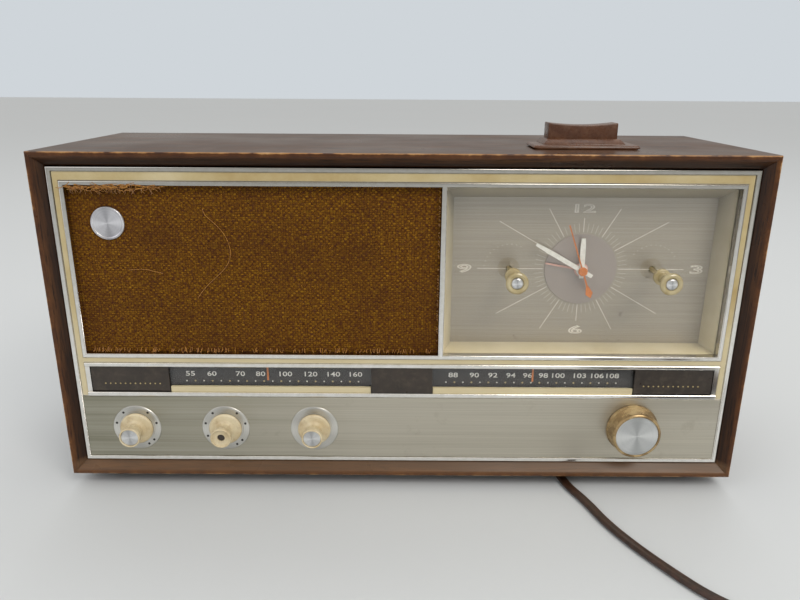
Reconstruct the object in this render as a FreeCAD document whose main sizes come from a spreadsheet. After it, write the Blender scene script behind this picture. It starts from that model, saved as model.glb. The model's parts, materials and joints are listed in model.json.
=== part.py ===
import FreeCAD, Part
import math
import os
import re

import Sketcher
from FreeCAD import Placement, Rotation, Vector

# A wooden table clock radio from the 1960s, in millimetres. +X is to the right as seen from the front,
# the front faces -Y and the rubber feet stand on z = 0. Depths below are measured backwards from the
# cabinet's front edge, and heights upwards from the underside of its wooden case; put() turns both
# into the part's own frame, whose origin is the middle of the whole footprint.
SIZES = {
    # wooden case
    "width": 410, "height": 198, "depth": 140, "board": 10, "front_lip": 2.6, "mould": 8,
    "back_step": 4, "foot_height": 9, "foot_radius": 9, "foot_inset": 22, "block_leg": 16,
    "seat": 0.3, "fit": 0.08, "run": 0.3, "front_reach": 10, "rear_reach": 5,
    # chromed front moulding
    "mask_set": 5, "mask_wall": 3, "bead": 2.6, "bead_rise": 1.4, "inlay_wall": 0.5,
    "window_edge": 17, "window_low": 79.3, "window_head": 18.7, "divider_left": 21.5,
    "divider_wide": 3, "slot_low": 54.4, "slot_high": 70.9, "panel_low": 10.9, "panel_high": 51.6,
    "panel_edge": 11, "panel_wall": 0.8, "plate_radius": 14.8, "plate_wall": 0.6,
    # grille and loudspeaker
    "cloth_wall": 0.6, "baffle_wall": 6, "badge_radius": 9.7, "badge_in": 20.5, "badge_down": 21.8,
    "badge_wall": 1.2, "speaker_share": 0.46, "speaker_flange": 5, "speaker_deep": 38,
    "magnet_radius": 24, "magnet_deep": 18,
    # tuning dial
    "scale_wall": 1, "scale_gap": 2, "dial_lens_wall": 1.4, "block_half": 18.5, "block_wall": 1,
    "pointer_wide": 1.1, "pointer_wall": 0.5, "am_x": -81.5, "fm_x": 79.5, "rail_radius": 1.5,
    "rail_in": 32, "rail_z": 73.2, "rail_set": 14, "carriage_wall": 0.6,
    # control knobs
    "volume_in": 42, "knob_step": 54.65, "small_z": 30.5, "shaft": 3,
    "small_flange": 10, "small_stem": 4.6, "small_tip": 6.3, "cap_wall": 0.5, "cap_rim": 1.1,
    "tuning_in": 63.2, "tuning_z": 32, "tuning_base": 15.8, "tuning_nose": 14.5,
    "tuning_reach": 7, "bush": 4.5, "pot_radius": 11.5, "pot_deep": 12,
    # tuning drive
    "spindle_groove": 4, "spindle_rim": 5.4, "drum_radius": 33.7, "drum_wide": 5, "drum_set": 27,
    "drum_z": 48, "flywheel_radius": 18, "flywheel_wide": 9, "gang_shaft": 3, "gang_deep": 30,
    "gang_half": 19, "vane_radius": 14, "vane_wall": 0.8, "vane_pitch": 4, "vane_count": 6,
    "cord_thick": 0.5, "post_radius": 4, "post_in": 26, "post_z": 70,
    # clock
    "clock_aside": 0.65, "clock_down": 1.2, "dial_set": 24, "dial_wall": 0.8, "dial_edge": 4.75,
    "dial_sill": 1.7, "dial_head": 8.3, "crystal_wall": 1.2, "disc_radius": 21.6, "disc_wall": 0.5,
    "hand_wall": 0.4, "hand_gap": 1.1, "sleeve_gap": 0.3, "sleeve_wall": 0.6, "arbor": 0.7,
    "hour_length": 19.4, "minute_length": 32.5, "second_length": 29.5, "alarm_length": 22,
    "post_apart": 43, "post_shaft": 1.6, "clock_collar": 4.8, "clock_tip": 6.4, "movement_half": 51,
    "movement_high": 38, "movement_deep": 36, "motor_radius": 17, "motor_deep": 16,
    "set_knob": 6.5, "set_knob_deep": 6, "alarm_set_x": 28, "alarm_set_z": -18,
    # snooze bar
    "snooze_aside": 0.8, "snooze_set": 47, "snooze_wide": 43, "snooze_deep": 15, "snooze_high": 11.4,
    "snooze_travel": 2.5, "escutcheon_wide": 66, "escutcheon_deep": 38, "escutcheon_high": 5.4,
    "escutcheon_edge": 2.6, "plunger": 3,
    # chassis and what stands on it
    "apron_set": 11, "sheet_metal": 1.2, "chassis_gap": 27, "apron_high": 71, "deck_set": 74,
    "deck_high": 50, "deck_back": 124, "stand_off": 5, "circuit_wall": 1.6, "circuit_in": 12,
    "circuit_long": 208, "can_round": 4.2, "can_side": 13, "can_high": 20, "transformer_in": 71,
    "transformer_wide": 44, "transformer_high": 34, "transformer_deep": 16, "coil_proud": 6,
    "ferrite_radius": 4.5, "ferrite_long": 150, "ferrite_in": 55, "ferrite_down": 30,
    # back
    "cover_wall": 3, "slot_wide": 3, "slot_long": 26, "slot_margin": 35, "screw_head": 4,
    "screw_inset": 8.6,
    # power cord
    "cord_radius": 2, "cord_x": 94, "cord_z": 53, "gland_radius": 6.5, "gland_out": 7,
    "coil_radius": 30, "coil_thick": 7, "plug_long": 24, "plug_wide": 20, "plug_high": 13,
}

# Places worked out from those sizes.
PLACES = {
    "half": "width / 2",
    "window_side": "half - window_edge",
    "window_high": "height - window_head",
    "window_middle": "(window_low + window_high) / 2",
    "panel_side": "half - panel_edge",
    "badge_x": "badge_in - window_side",
    "badge_z": "window_high - badge_down",
    "speaker_x": "(divider_left - window_side) / 2 - 1.75",
    "speaker_z": "window_middle",
    "speaker_hole": "(window_high - window_low) * speaker_share",
    "speaker_rim": "speaker_hole + speaker_flange",
    "volume_x": "volume_in - half",
    "tone_x": "volume_x + knob_step",
    "selector_x": "tone_x + knob_step",
    "tuning_x": "half - tuning_in",
    "clock_x": "(divider_right + window_side) / 2 + clock_aside",
    "clock_z": "window_middle - clock_down",
    "dial_half": "(window_side - divider_right) / 2 - dial_edge",
    "dial_low": "window_low + dial_sill",
    "dial_high": "window_high - dial_head",
    "snooze_x": "clock_x - snooze_aside",
    "chassis_half": "half - chassis_gap",
    "rail_half": "chassis_half - rail_in",
    "post_x": "chassis_half - post_in",
    "circuit_left": "circuit_in - chassis_half",
    "circuit_right": "circuit_left + circuit_long",
    "transformer_x": "circuit_left + transformer_in",
    "mask_half": "half - mould - seat",
    "mask_low": "mould + seat",
    "mask_top": "height - mould - seat",
    "mask_back": "mask_set + mask_wall",
    "bead_face": "mask_set - bead_rise",
    "inlay_face": "mask_set - inlay_wall",
    "divider_right": "divider_left + divider_wide",
    "panel_face": "mask_set - panel_wall",
    "plate_face": "panel_face - plate_wall",
    "knob_back": "plate_face - run",
    "cloth_front": "mask_back + seat",
    "baffle_front": "cloth_front + cloth_wall + seat",
    "baffle_back": "baffle_front + baffle_wall",
    "baffle_low": "window_low - 2.6",
    "baffle_right": "divider_left + 1.4",
    "crystal_front": "mask_back",
    "shroud_front": "crystal_front + crystal_wall",
    "shroud_left": "divider_right - 1",
    "shroud_right": "window_side + 2",
    "shroud_low": "window_low - 1.8",
    "shroud_high": "window_high + 2",
    "dial_back": "dial_set + dial_wall",
    "disc_front": "dial_set - disc_wall",
    "alarm_back": "disc_front - hand_gap",
    "hour_back": "alarm_back - hand_wall - hand_gap",
    "minute_back": "hour_back - hand_wall - hand_gap",
    "second_back": "minute_back - hand_wall - hand_gap",
    "minute_in": "arbor + sleeve_gap",
    "minute_out": "minute_in + sleeve_wall",
    "hour_in": "minute_out + sleeve_gap",
    "hour_out": "hour_in + sleeve_wall",
    "alarm_in": "hour_out + sleeve_gap",
    "alarm_out": "alarm_in + sleeve_wall",
    "dial_bore": "alarm_out + sleeve_gap",
    "movement_back": "dial_back + movement_deep",
    "second_end": "dial_back + 16",
    "hour_end": "dial_back + 8",
    "alarm_end": "dial_back + 5",
    "motor_back": "movement_back + motor_deep",
    "cover_face": "depth - back_step",
    "cover_front": "cover_face - cover_wall",
    "set_knob_front": "depth + rear_reach - set_knob_deep",
    "apron_back": "apron_set + sheet_metal",
    "scale_front": "apron_set - scale_wall",
    "pointer_front": "scale_front - 1.5",
    "dial_lens_front": "mask_set + 1",
    "drum_back": "drum_set + drum_wide",
    "gang_front": "drum_back + 4",
    "gang_back": "gang_front + gang_deep",
    "pot_front": "apron_back",
    "escutcheon_top": "height + escutcheon_high",
    "snooze_foot": "height + snooze_travel + 0.5",
    "front": "-(depth + rear_reach - front_reach) / 2",
}

FULL_TURN = 360

# The clock shows about ten to twelve, with its alarm set for twenty past nine.
MINUTE_ANGLE = -60.4
HOUR_ANGLE = -1
SECOND_ANGLE = -19.7
ALARM_ANGLE = -80

document = FreeCAD.newDocument("clock_radio")
sheet = document.addObject("Spreadsheet::Sheet", "sizes")
for row, (alias, size) in enumerate(SIZES.items(), start=1):
    sheet.set(f"A{row}", alias)
    sheet.set(f"B{row}", str(size))
    sheet.setAlias(f"B{row}", alias)
document.recompute()

pieces = []


def full(expression):
    """The expression with each place written out and each size named in the sheet."""
    def name(match):
        word = match[0]
        if word in PLACES:
            return f"({full(PLACES[word])})"
        return f"sizes.{word}" if word in SIZES else word
    return re.sub(r"[a-z][a-z_0-9]*", name, str(expression))


def value(expression):
    return float(sheet.evalExpression(full(expression)))


def put(thing, x="0", y="0", z="0"):
    """Set a piece in the part's frame, with y counted from the front edge and z from the wood's underside."""
    thing.setExpression("Placement.Base.x", full(x))
    thing.setExpression("Placement.Base.y", full(f"front + {y}"))
    thing.setExpression("Placement.Base.z", full(f"foot_height + {z}"))


def piece(label, thing):
    """Name a finished piece, which is written to a file of that name."""
    thing.Label = label
    pieces.append(thing)
    return thing


def block(x0, x1, y0, y1, z0, z1):
    solid = document.addObject("Part::Box", "block")
    for side, low, high in (("Length", x0, x1), ("Width", y0, y1), ("Height", z0, z1)):
        solid.setExpression(side, full(f"({high}) - ({low})"))
    put(solid, x0, f"({y0})", f"({z0})")
    return solid


def rod(radius, x, y, z, length, axis="y"):
    """A cylinder that starts at x, y, z and runs along the axis."""
    turn = {"x": Rotation(Vector(0, 1, 0), 90), "y": Rotation(Vector(1, 0, 0), -90), "z": Rotation()}
    solid = document.addObject("Part::Cylinder", "rod")
    solid.setExpression("Radius", full(radius))
    solid.setExpression("Height", full(length))
    solid.Placement = Placement(Vector(), turn[axis])
    put(solid, x, f"({y})", f"({z})")
    return solid


def joined(*solids):
    fusion = document.addObject("Part::MultiFuse", "joined")
    fusion.Shapes = list(solids)
    fusion.Refine = True
    return fusion


def cut(base, *tools):
    result = document.addObject("Part::Cut", "cut")
    result.Base = base
    result.Tool = tools[0] if len(tools) == 1 else joined(*tools)
    result.Refine = True
    return result


def new_body(x="0", y="0", z="0", angle=0):
    """An empty body, turned clockwise by the angle as seen from the front."""
    body = document.addObject("PartDesign::Body", "body")
    body.Placement = Placement(Vector(), Rotation(Vector(0, 1, 0), angle))
    put(body, x, y, z)
    return body


def arc_between(start, end, radius):
    """The arc from start to end that turns left where radius is positive and right where it is negative."""
    if radius < 0:
        return arc_between(end, start, -radius)
    middle = (start + end) / 2
    chord = end - start
    rise = math.sqrt(max(radius ** 2 - chord.Length ** 2 / 4, 0))
    centre = middle + Vector(-chord.y, chord.x, 0).normalize() * rise
    angles = [math.atan2(p.y - centre.y, p.x - centre.x) for p in (start, end)]
    return Part.ArcOfCircle(Part.Circle(centre, Vector(0, 0, 1), radius), *angles)


def sketch(body, plane, *loops, offset="0"):
    """A sketch on one of the body's own planes, with every corner held by the sheet's sizes.

    A loop is a list of corners (across, up). A third item is the radius of the arc that comes to that
    corner, positive where it turns left. A loop ("circle", across, up, radius) is a circle.
    """
    drawing = body.newObject("Sketcher::SketchObject", "sketch")
    side = [o for o in body.Origin.OriginFeatures if o.Role == plane + "_Plane"][0]
    drawing.AttachmentSupport = [(side, "")]
    drawing.MapMode = "FlatFace"
    if offset != "0":
        drawing.setExpression("AttachmentOffset.Base.z", full(offset))
    constrain = drawing.addConstraint
    hold = lambda index, expression: drawing.setExpression(f"Constraints[{index}]", full(expression))
    for loop in loops:
        first = drawing.GeometryCount
        if loop[0] == "circle":
            across, up, radius = loop[1:]
            centre = Vector(value(across), value(up), 0)
            drawing.addGeometry(Part.Circle(centre, Vector(0, 0, 1), value(radius)), False)
            hold(constrain(Sketcher.Constraint("Radius", first, value(radius))), radius)
            hold(constrain(Sketcher.Constraint("DistanceX", -1, 1, first, 3, centre.x)), across)
            hold(constrain(Sketcher.Constraint("DistanceY", -1, 1, first, 3, centre.y)), up)
            continue
        corners = [Vector(value(c[0]), value(c[1]), 0) for c in loop]
        ends = []
        for i, corner in enumerate(corners):
            before = corners[i - 1]
            bend = value(loop[i][2]) if len(loop[i]) > 2 else 0
            line = arc_between(before, corner, bend) if bend else Part.LineSegment(before, corner)
            drawing.addGeometry(line, False)
            ends.append((2, 1) if bend < 0 else (1, 2))
        count = len(corners)
        for i in range(count):
            after = (i + 1) % count
            constrain(Sketcher.Constraint("Coincident", first + i, ends[i][1], first + after, ends[after][0]))
        for i, corner in enumerate(corners):
            across = constrain(Sketcher.Constraint("DistanceX", -1, 1, first + i, ends[i][1], corner.x))
            hold(across, loop[i][0])
            up = constrain(Sketcher.Constraint("DistanceY", -1, 1, first + i, ends[i][1], corner.y))
            hold(up, loop[i][1])
            if len(loop[i]) > 2 and value(loop[i][2]):
                bend = value(loop[i][2])
                radius = constrain(Sketcher.Constraint("Radius", first + i, abs(bend)))
                hold(radius, loop[i][2] if bend > 0 else f"-({loop[i][2]})")
    return drawing


def rectangle(x0, x1, z0, z1):
    return [(x0, z0), (x1, z0), (x1, z1), (x0, z1)]


def grow(body, drawing, length, back=True, middle=False):
    """Pad a sketch; on the XZ plane it grows backwards."""
    pad = body.newObject("PartDesign::Pad", "pad")
    pad.Profile = drawing
    pad.setExpression("Length", full(length))
    pad.Reversed = back
    if middle:
        pad.SideType = "Symmetric"
    return pad


def sink(body, drawing, length=None, back=True):
    """Pocket a sketch, through everything both ways unless a depth is given."""
    pocket = body.newObject("PartDesign::Pocket", "pocket")
    pocket.Profile = drawing
    if length is None:
        pocket.Type = "ThroughAll"
        pocket.SideType = "Symmetric"
    else:
        pocket.setExpression("Length", full(length))
        pocket.Reversed = not back
    return pocket


def turned(outline, x, z, y="0", plane="XY"):
    """A body turned about its own axis: (radius, distance along the axis) all round."""
    body = new_body(x, y, z)
    spin = body.newObject("PartDesign::Revolution", "turned")
    spin.Profile = sketch(body, plane, outline)
    spin.ReferenceAxis = (spin.Profile[0], ["V_Axis"])
    spin.Angle = FULL_TURN
    return body


def plate(loops, y, length, x="0", z="0", angle=0):
    """A flat piece that stands in the XZ plane and grows backwards from y."""
    body = new_body(x, y, z, angle)
    grow(body, sketch(body, "XZ", *loops), length)
    return body


def ring(radius_in, radius_out, start, end):
    return [(radius_in, start), (radius_out, start), (radius_out, end), (radius_in, end)]


# ---- wooden case ----

def board(label, upright, near, far):
    """One mitred board. near is its inner face's coordinate and far its outer one's, across its thickness."""
    body = new_body()
    way = "1" if value(far) > value(near) else "-1"
    outer = far
    def inward(distance):
        return f"({outer}) - ({way}) * ({distance})"
    # thickness against depth: lip, sloped cove, step for the front moulding, and the back's rebate
    corners = [(outer, "0"), (outer, "depth"), (inward("back_step"), "depth"),
               (inward("back_step"), "cover_front"), (near, "cover_front"), (near, "mask_back"),
               (inward("mould"), "mask_back"), (inward("mould"), "mask_set"),
               (inward("front_lip"), "0")]
    if upright:
        profile = sketch(body, "XY", corners, offset="height / 2")
        grow(body, profile, "height", middle=True)
    else:
        profile = sketch(body, "YZ", [(c[1], c[0]) for c in corners])
        grow(body, profile, "width", middle=True)
    document.recompute()
    if upright:
        mitres = [[(outer, "0"), (near, f"board"), (near, "0")],
                  [(outer, "height"), (near, "height - board"), (near, "height")]]
    else:
        mitres = [[("-half", outer), ("-half", near), ("-half + board", near)],
                  [("half", outer), ("half", near), ("half - board", near)]]
    sink(body, sketch(body, "XZ", *mitres))
    return piece(label, body)


top = board("cabinet_top", False, "height - board", "height")
board("cabinet_bottom", False, "board", "0")
board("cabinet_left_side", True, "-half + board", "-half")
board("cabinet_right_side", True, "half - board", "half")

corner_blocks = []
for side in ("-1", "1"):
    for low in (True, False):
        # a glue block's square corner lies in the case's corner
        inner_x = f"{side} * (half - board)"
        inner_z = "board" if low else "height - board"
        leg_x = f"-({side}) * block_leg"
        leg_z = "block_leg" if low else "-block_leg"
        wedge = plate([[(inner_x, inner_z), (f"{inner_x} + {leg_x}", inner_z),
                        (inner_x, f"{inner_z} + {leg_z}")]], "cover_front - seat - block_leg", "block_leg")
        corner_blocks.append(wedge)
piece("corner_blocks", joined(*corner_blocks))

feet = []
for side in ("-1", "1"):
    for depth_in in ("foot_inset", "depth - foot_inset"):
        foot = turned([("0", "-foot_height"), ("foot_radius - 1.5", "-foot_height"),
                       ("foot_radius - 0.5", "-foot_height + 1"), ("foot_radius", "0"), ("0", "0")],
                      f"{side} * (half - foot_inset)", "0", depth_in, plane="XZ")
        feet.append(foot)
piece("feet", joined(*feet))

# ---- chromed front moulding and what it frames ----

window = rectangle("divider_right", "window_side", "window_low", "window_high")
grille_window = rectangle("-window_side", "divider_left", "window_low", "window_high")
dial_slot = rectangle("-window_side", "window_side", "slot_low", "slot_high")
shaft_holes = [("circle", x, "small_z", "bush + seat") for x in ("volume_x", "tone_x", "selector_x")]
shaft_holes.append(("circle", "tuning_x", "tuning_z", "bush + seat"))


def frame(x0, x1, z0, z1, wide):
    """A rectangular ring that lies outside the given rectangle."""
    return [rectangle(x0, x1, z0, z1),
            rectangle(f"{x0} - {wide}", f"{x1} + {wide}", f"{z0} - {wide}", f"{z1} + {wide}")]


bezel = new_body()
grow(bezel, sketch(bezel, "XZ", rectangle("-mask_half", "mask_half", "mask_low", "mask_top"), window,
                   grille_window, dial_slot, *shaft_holes, offset="-mask_set"), "mask_wall")
rims = [frame("-mask_half + bead", "mask_half - bead", "mask_low + bead", "mask_top - bead", "bead"),
        frame("-window_side", "window_side", "window_low", "window_high", "bead"),
        [rectangle("-window_side - bead", "window_side + bead", "slot_high", "slot_high + bead")],
        [rectangle("-window_side - bead", "window_side + bead", "panel_high", "slot_low")],
        [rectangle("divider_left", "divider_right", "window_low", "window_high")]]
for loops in rims:
    document.recompute()
    rim = grow(bezel, sketch(bezel, "XZ", *loops, offset="-mask_set"), "bead_rise", back=False)


def soften(body, radius, keep):
    """Round the edges whose middle the test keeps."""
    document.recompute()
    feature = body.Tip
    shape = feature.Shape
    names = [f"Edge{i + 1}" for i, edge in enumerate(shape.Edges) if keep(edge)]
    fillet = body.newObject("PartDesign::Fillet", "rounded")
    fillet.Base = (feature, names)
    fillet.setExpression("Radius", full(radius))
    return fillet


def at_depth(expression):
    """A test for edges that lie wholly at one depth."""
    depth_there = value(expression)
    return lambda edge: all(abs(v.Point.y - depth_there) < 0.01 for v in edge.Vertexes)


soften(bezel, "bead * 0.3", at_depth("bead_face"))
piece("front_bezel", bezel)

band_top = "mask_top - bead - seat"
inlay_loops = [[rectangle("-mask_half + bead + seat", "mask_half - bead - seat", "window_high + bead + seat",
                          band_top)]]
for side in ("-1", "1"):
    inlay_loops.append([rectangle(f"{side} * (window_side + bead + seat)",
                                  f"{side} * (mask_half - bead - seat)", "panel_high + 0.4", band_top)])
inlay_loops.append([rectangle("-window_side - bead - seat - 0.2", "window_side + bead + seat + 0.2",
                              "slot_high + bead + seat", "window_low - bead - seat")])
strips = [plate(loops, "inlay_face", "inlay_wall") for loops in inlay_loops]
for side in ("-1", "1"):
    # the pale strips under the two tuning scales stand in the bottom of the dial slot
    strips.append(block(f"min({side} * (block_half + seat); {side} * (window_side - 48))",
                        f"max({side} * (block_half + seat); {side} * (window_side - 48))",
                        "mask_set", "mask_back", "slot_low", "slot_low + 3.4"))
piece("bezel_inlay", joined(*strips))

cloth = block("-window_side - 3", "divider_left + 1", "cloth_front", "cloth_front + cloth_wall",
              "baffle_low", "window_high + 4")
piece("grille_cloth", cloth)
baffle = plate([rectangle("-window_side - 4", "baffle_right", "baffle_low", "window_high + 5"),
                ("circle", "speaker_x", "speaker_z", "speaker_hole")], "baffle_front", "baffle_wall")
piece("grille_baffle", baffle)
badge = turned([("0", "cloth_front - badge_wall"), ("badge_radius - 0.8", "cloth_front - badge_wall"),
                ("badge_radius", "cloth_front - badge_wall + 0.8", "0.8"),
                ("badge_radius", "cloth_front - 0.1"), ("0", "cloth_front - 0.1")], "badge_x", "badge_z")
piece("grille_badge", badge)

panel = plate([rectangle("-panel_side", "panel_side", "panel_low + 0.4", "panel_high - 0.3"), *shaft_holes],
              "panel_face", "panel_wall")
piece("control_panel", panel)
plates = [turned([("bush + seat", "plate_face"), ("plate_radius - 0.5", "plate_face"),
                  ("plate_radius", "panel_face"), ("bush + seat", "panel_face")], x, "small_z")
          for x in ("volume_x", "tone_x", "selector_x")]
piece("knob_plates", joined(*plates))

# ---- loudspeaker ----

basket_back = "baffle_back + speaker_deep"
basket = turned([("speaker_hole", "baffle_back"), ("speaker_rim", "baffle_back"),
                 ("speaker_rim", "baffle_back + 2"), ("speaker_hole + 1.5", "baffle_back + 3"),
                 ("magnet_radius + 3", f"{basket_back} - 4"), ("magnet_radius + 3", basket_back),
                 ("magnet_radius", basket_back), ("magnet_radius", f"{basket_back} + magnet_deep"),
                 ("0", f"{basket_back} + magnet_deep"), ("0", f"{basket_back} - 2"),
                 ("magnet_radius + 1", f"{basket_back} - 2"), ("magnet_radius + 1", f"{basket_back} - 5"),
                 ("speaker_hole", "baffle_back + 2")], "speaker_x", "speaker_z")
openings = new_body("speaker_x", "0", "speaker_z")
window_cutter = sketch(openings, "XZ", rectangle("-7", "7", "magnet_radius + 6", "speaker_hole - 4"),
                       offset="-baffle_back")
slit = grow(openings, window_cutter, "speaker_deep")
document.recompute()
around = openings.newObject("PartDesign::PolarPattern", "around")
around.Originals = [slit]
around.Axis = ([o for o in openings.Origin.OriginFeatures if o.Role == "Y_Axis"][0], [""])
around.Angle = FULL_TURN
around.Occurrences = 6
openings.Tip = around
piece("speaker_frame", cut(basket, openings))
cone = turned([("magnet_radius - 8", f"{basket_back} - 8"), ("speaker_hole - 4", "baffle_back + 2.5"),
               ("speaker_hole - 1", "baffle_back + 0.5"), ("speaker_hole - 0.5", "baffle_back + 1.5"),
               ("speaker_hole - 4", "baffle_back + 3.5"), ("magnet_radius - 8", f"{basket_back} - 7"),
               ("magnet_radius - 12", f"{basket_back} - 2.3"), ("0", f"{basket_back} - 2.3"),
               ("0", f"{basket_back} - 12"), ("magnet_radius - 12", f"{basket_back} - 9")],
              "speaker_x", "speaker_z")
piece("speaker_cone", cone)

# ---- tuning dial ----

scale = block("-window_side + 1", "window_side - 1", "scale_front", "apron_set", "panel_high", "apron_high")
piece("dial_scale", scale)
lens_low = "slot_low + 3.4 + seat"
lens = block("-window_side + seat", "window_side - seat", "dial_lens_front",
             "dial_lens_front + dial_lens_wall", lens_low, "slot_high - seat")
piece("dial_lens", lens)
blocks = [block("-block_half", "block_half", "mask_set - block_wall", "dial_lens_front - 0.1",
                "slot_low + seat", "slot_high - seat")]
for side in ("-1", "1"):
    blocks.append(block(f"min({side} * (window_side - seat); {side} * (window_side - 47.4))",
                        f"max({side} * (window_side - seat); {side} * (window_side - 47.4))",
                        "mask_set + 0.2", "dial_lens_front - 0.1", "slot_low + seat", "slot_high - seat"))
piece("dial_blocks", joined(*blocks))

rail = rod("rail_radius", "-rail_half", "rail_set", "rail_z", "2 * rail_half", axis="x")
rail_parts = [rail]
for side in ("-1", "1"):
    # a lug holds each end of the rail on the apron, and a stud beside it guides the dial cord
    rail_parts.append(block(f"{side} * (rail_half - 2) - 2", f"{side} * (rail_half - 2) + 2", "apron_back",
                            "rail_set + rail_radius + 0.6", "apron_high - 6", "rail_z + rail_radius + 1"))
    rail_parts.append(rod("post_radius", f"{side} * post_x", "apron_back", "post_z", "8"))

# ---- chassis ----

apron = plate([rectangle("-chassis_half", "chassis_half", "board", "apron_high"),
               ("circle", "0", "drum_z", "gang_shaft + seat"),
               ("circle", "tuning_x", "tuning_z", "shaft + fit")]
              + [("circle", x, "small_z", "bush + fit") for x in ("volume_x", "tone_x", "selector_x")],
              "apron_set", "sheet_metal")
bent = new_body("-chassis_half")
deck_in = "deck_set + sheet_metal"
deck_out = "deck_back - sheet_metal"
floor_top = "board + sheet_metal"
deck_under = "deck_high - sheet_metal"
folded = [("apron_set", "board"), (deck_in, "board"), (deck_in, deck_under), (deck_out, deck_under),
          (deck_out, "board"), ("deck_back", "board"), ("deck_back", "deck_high"),
          ("deck_set", "deck_high"), ("deck_set", floor_top), ("apron_set", floor_top)]
grow(bent, sketch(bent, "YZ", folded), "2 * chassis_half", back=False)
bearing = block("tuning_x - 7", "tuning_x + 7", "drum_back + flywheel_wide + 12",
                "drum_back + flywheel_wide + 13.2", "board", "tuning_z + 8")
bearing_hole = rod("shaft + fit", "tuning_x", "drum_back + flywheel_wide + 11", "tuning_z", "4")
bush = turned(ring("shaft + fit", "bush", "mask_set + 0.5", "apron_set"), "tuning_x", "tuning_z")
chassis = joined(apron, bush, bent, cut(bearing, bearing_hole), *rail_parts)
piece("chassis", chassis)

board_under = "deck_high + stand_off"
board_top = f"{board_under} + circuit_wall"
loaded = [block("circuit_left", "circuit_right", "deck_set + 4", "deck_back - 2", board_under, board_top)]
for x in ("circuit_left + 6", "circuit_right - 6"):
    for y in ("deck_set + 10", "deck_back - 8"):
        loaded.append(rod("2.5", x, y, "deck_high", "stand_off", axis="z"))
# capacitors: (from the board's left end, behind the deck's front, radius, height)
for along, behind, radius, high in ((16, 12, 8, 28), (54, 10, 6.5, 22), (186, 38, 8, 30)):
    place = (f"circuit_left + {along}", f"deck_set + {behind}", board_top)
    loaded.append(rod(str(radius), *place, str(high), axis="z"))
for i in range(8):
    # transistors in small round cans stand in two rows
    x = f"circuit_left + 28 + 22 * {i}"
    y = "deck_back - 10" if i % 2 else "deck_set + 24"
    loaded.append(rod("can_round", x, y, board_top, "can_round * 1.6", axis="z"))
piece("circuit_board", joined(*loaded))
cans = []
for i in range(4):
    can = new_body(f"circuit_left + 76 + 28 * {i}", "deck_set + 12")
    grow(can, sketch(can, "XY", rectangle("-can_side / 2", "can_side / 2", "-can_side / 2", "can_side / 2"),
                     offset=board_top), "can_high", back=False)
    cans.append(can)
piece("if_cans", joined(*cans))
core_back = "deck_set - 10"
core_front = f"{core_back} - transformer_deep"
transformer = joined(
    block("transformer_x - transformer_wide / 2", "transformer_x + transformer_wide / 2", core_front,
          core_back, floor_top, f"{floor_top} + transformer_high"),
    block("transformer_x - transformer_wide / 4", "transformer_x + transformer_wide / 4",
          f"{core_front} - coil_proud", f"{core_back} + coil_proud", f"{floor_top} + 5",
          f"{floor_top} + transformer_high - 5"))
piece("power_transformer", transformer)

# ---- tuning drive and variable capacitor ----

drive = turned([("0", "-tuning_reach + 4"), ("shaft", "-tuning_reach + 4"), ("shaft", "drum_set - 1"),
                ("spindle_rim", "drum_set - 1"), ("spindle_rim", "drum_set"),
                ("spindle_groove", "drum_set + 1.2"), ("spindle_groove", "drum_back - 1.2"),
                ("spindle_rim", "drum_back"), ("spindle_rim", "drum_back + 1"), ("shaft", "drum_back + 1"),
                ("shaft", "drum_back + flywheel_wide + 15"), ("0", "drum_back + flywheel_wide + 15")],
               "tuning_x", "tuning_z")
piece("tuning_shaft", drive)
wheel = "drum_back + 4"
flywheel = turned([("shaft", wheel), ("7", wheel), ("9", f"{wheel} + 2"), ("flywheel_radius - 4", f"{wheel} + 2"),
                   ("flywheel_radius - 3", wheel), ("flywheel_radius", wheel),
                   ("flywheel_radius", f"{wheel} + flywheel_wide"),
                   ("flywheel_radius - 3", f"{wheel} + flywheel_wide"),
                   ("flywheel_radius - 4", f"{wheel} + flywheel_wide - 2"),
                   ("9", f"{wheel} + flywheel_wide - 2"), ("7", f"{wheel} + flywheel_wide"),
                   ("shaft", f"{wheel} + flywheel_wide")], "tuning_x", "tuning_z")
piece("flywheel", flywheel)
drum = turned([("gang_shaft", "drum_set"), ("8", "drum_set"), ("8", "drum_set + 1.6"),
               ("drum_radius - 2", "drum_set + 1.6"), ("drum_radius", "drum_set"),
               ("drum_radius + 1", "drum_set"), ("drum_radius", "drum_set + drum_wide / 2"),
               ("drum_radius + 1", "drum_back"), ("drum_radius", "drum_back"),
               ("drum_radius - 2", "drum_back - 1.6"), ("8", "drum_back - 1.6"), ("8", "drum_back"),
               ("gang_shaft", "drum_back")], "0", "drum_z")
piece("tuning_drum", drum)

vanes = "gang_front + 4"
gang_holes = [("circle", "0", "drum_z", "gang_shaft + fit")]
rotor_parts = [rod("gang_shaft", "0", "apron_set - 0.5", "drum_z", "gang_back + 2 - apron_set")]
stator_parts = [plate([rectangle("-gang_half", "gang_half", floor_top, "drum_z + vane_radius"), *gang_holes],
                      y, "1.6") for y in ("gang_front", "gang_back - 1.6")]
slot = "gang_shaft + 2"
reach = "vane_radius + 3"
for i in range(SIZES["vane_count"]):
    y = f"{vanes} + {i} * vane_pitch"
    rotor_leaf = [("-vane_radius", "0"), ("0", "-vane_radius", "vane_radius"),
                  ("vane_radius", "0", "vane_radius")]
    stator_leaf = [("0", f"-({reach})"), (reach, "0", reach), ("0", reach, reach), ("0", slot),
                   (slot, "0", f"-({slot})"), ("0", f"-({slot})", f"-({slot})")]
    rotor_parts.append(plate([rotor_leaf], y, "vane_wall", z="drum_z"))
    if i < SIZES["vane_count"] - 1:
        stator_parts.append(plate([stator_leaf], f"{y} + vane_pitch / 2", "vane_wall", z="drum_z"))
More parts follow.
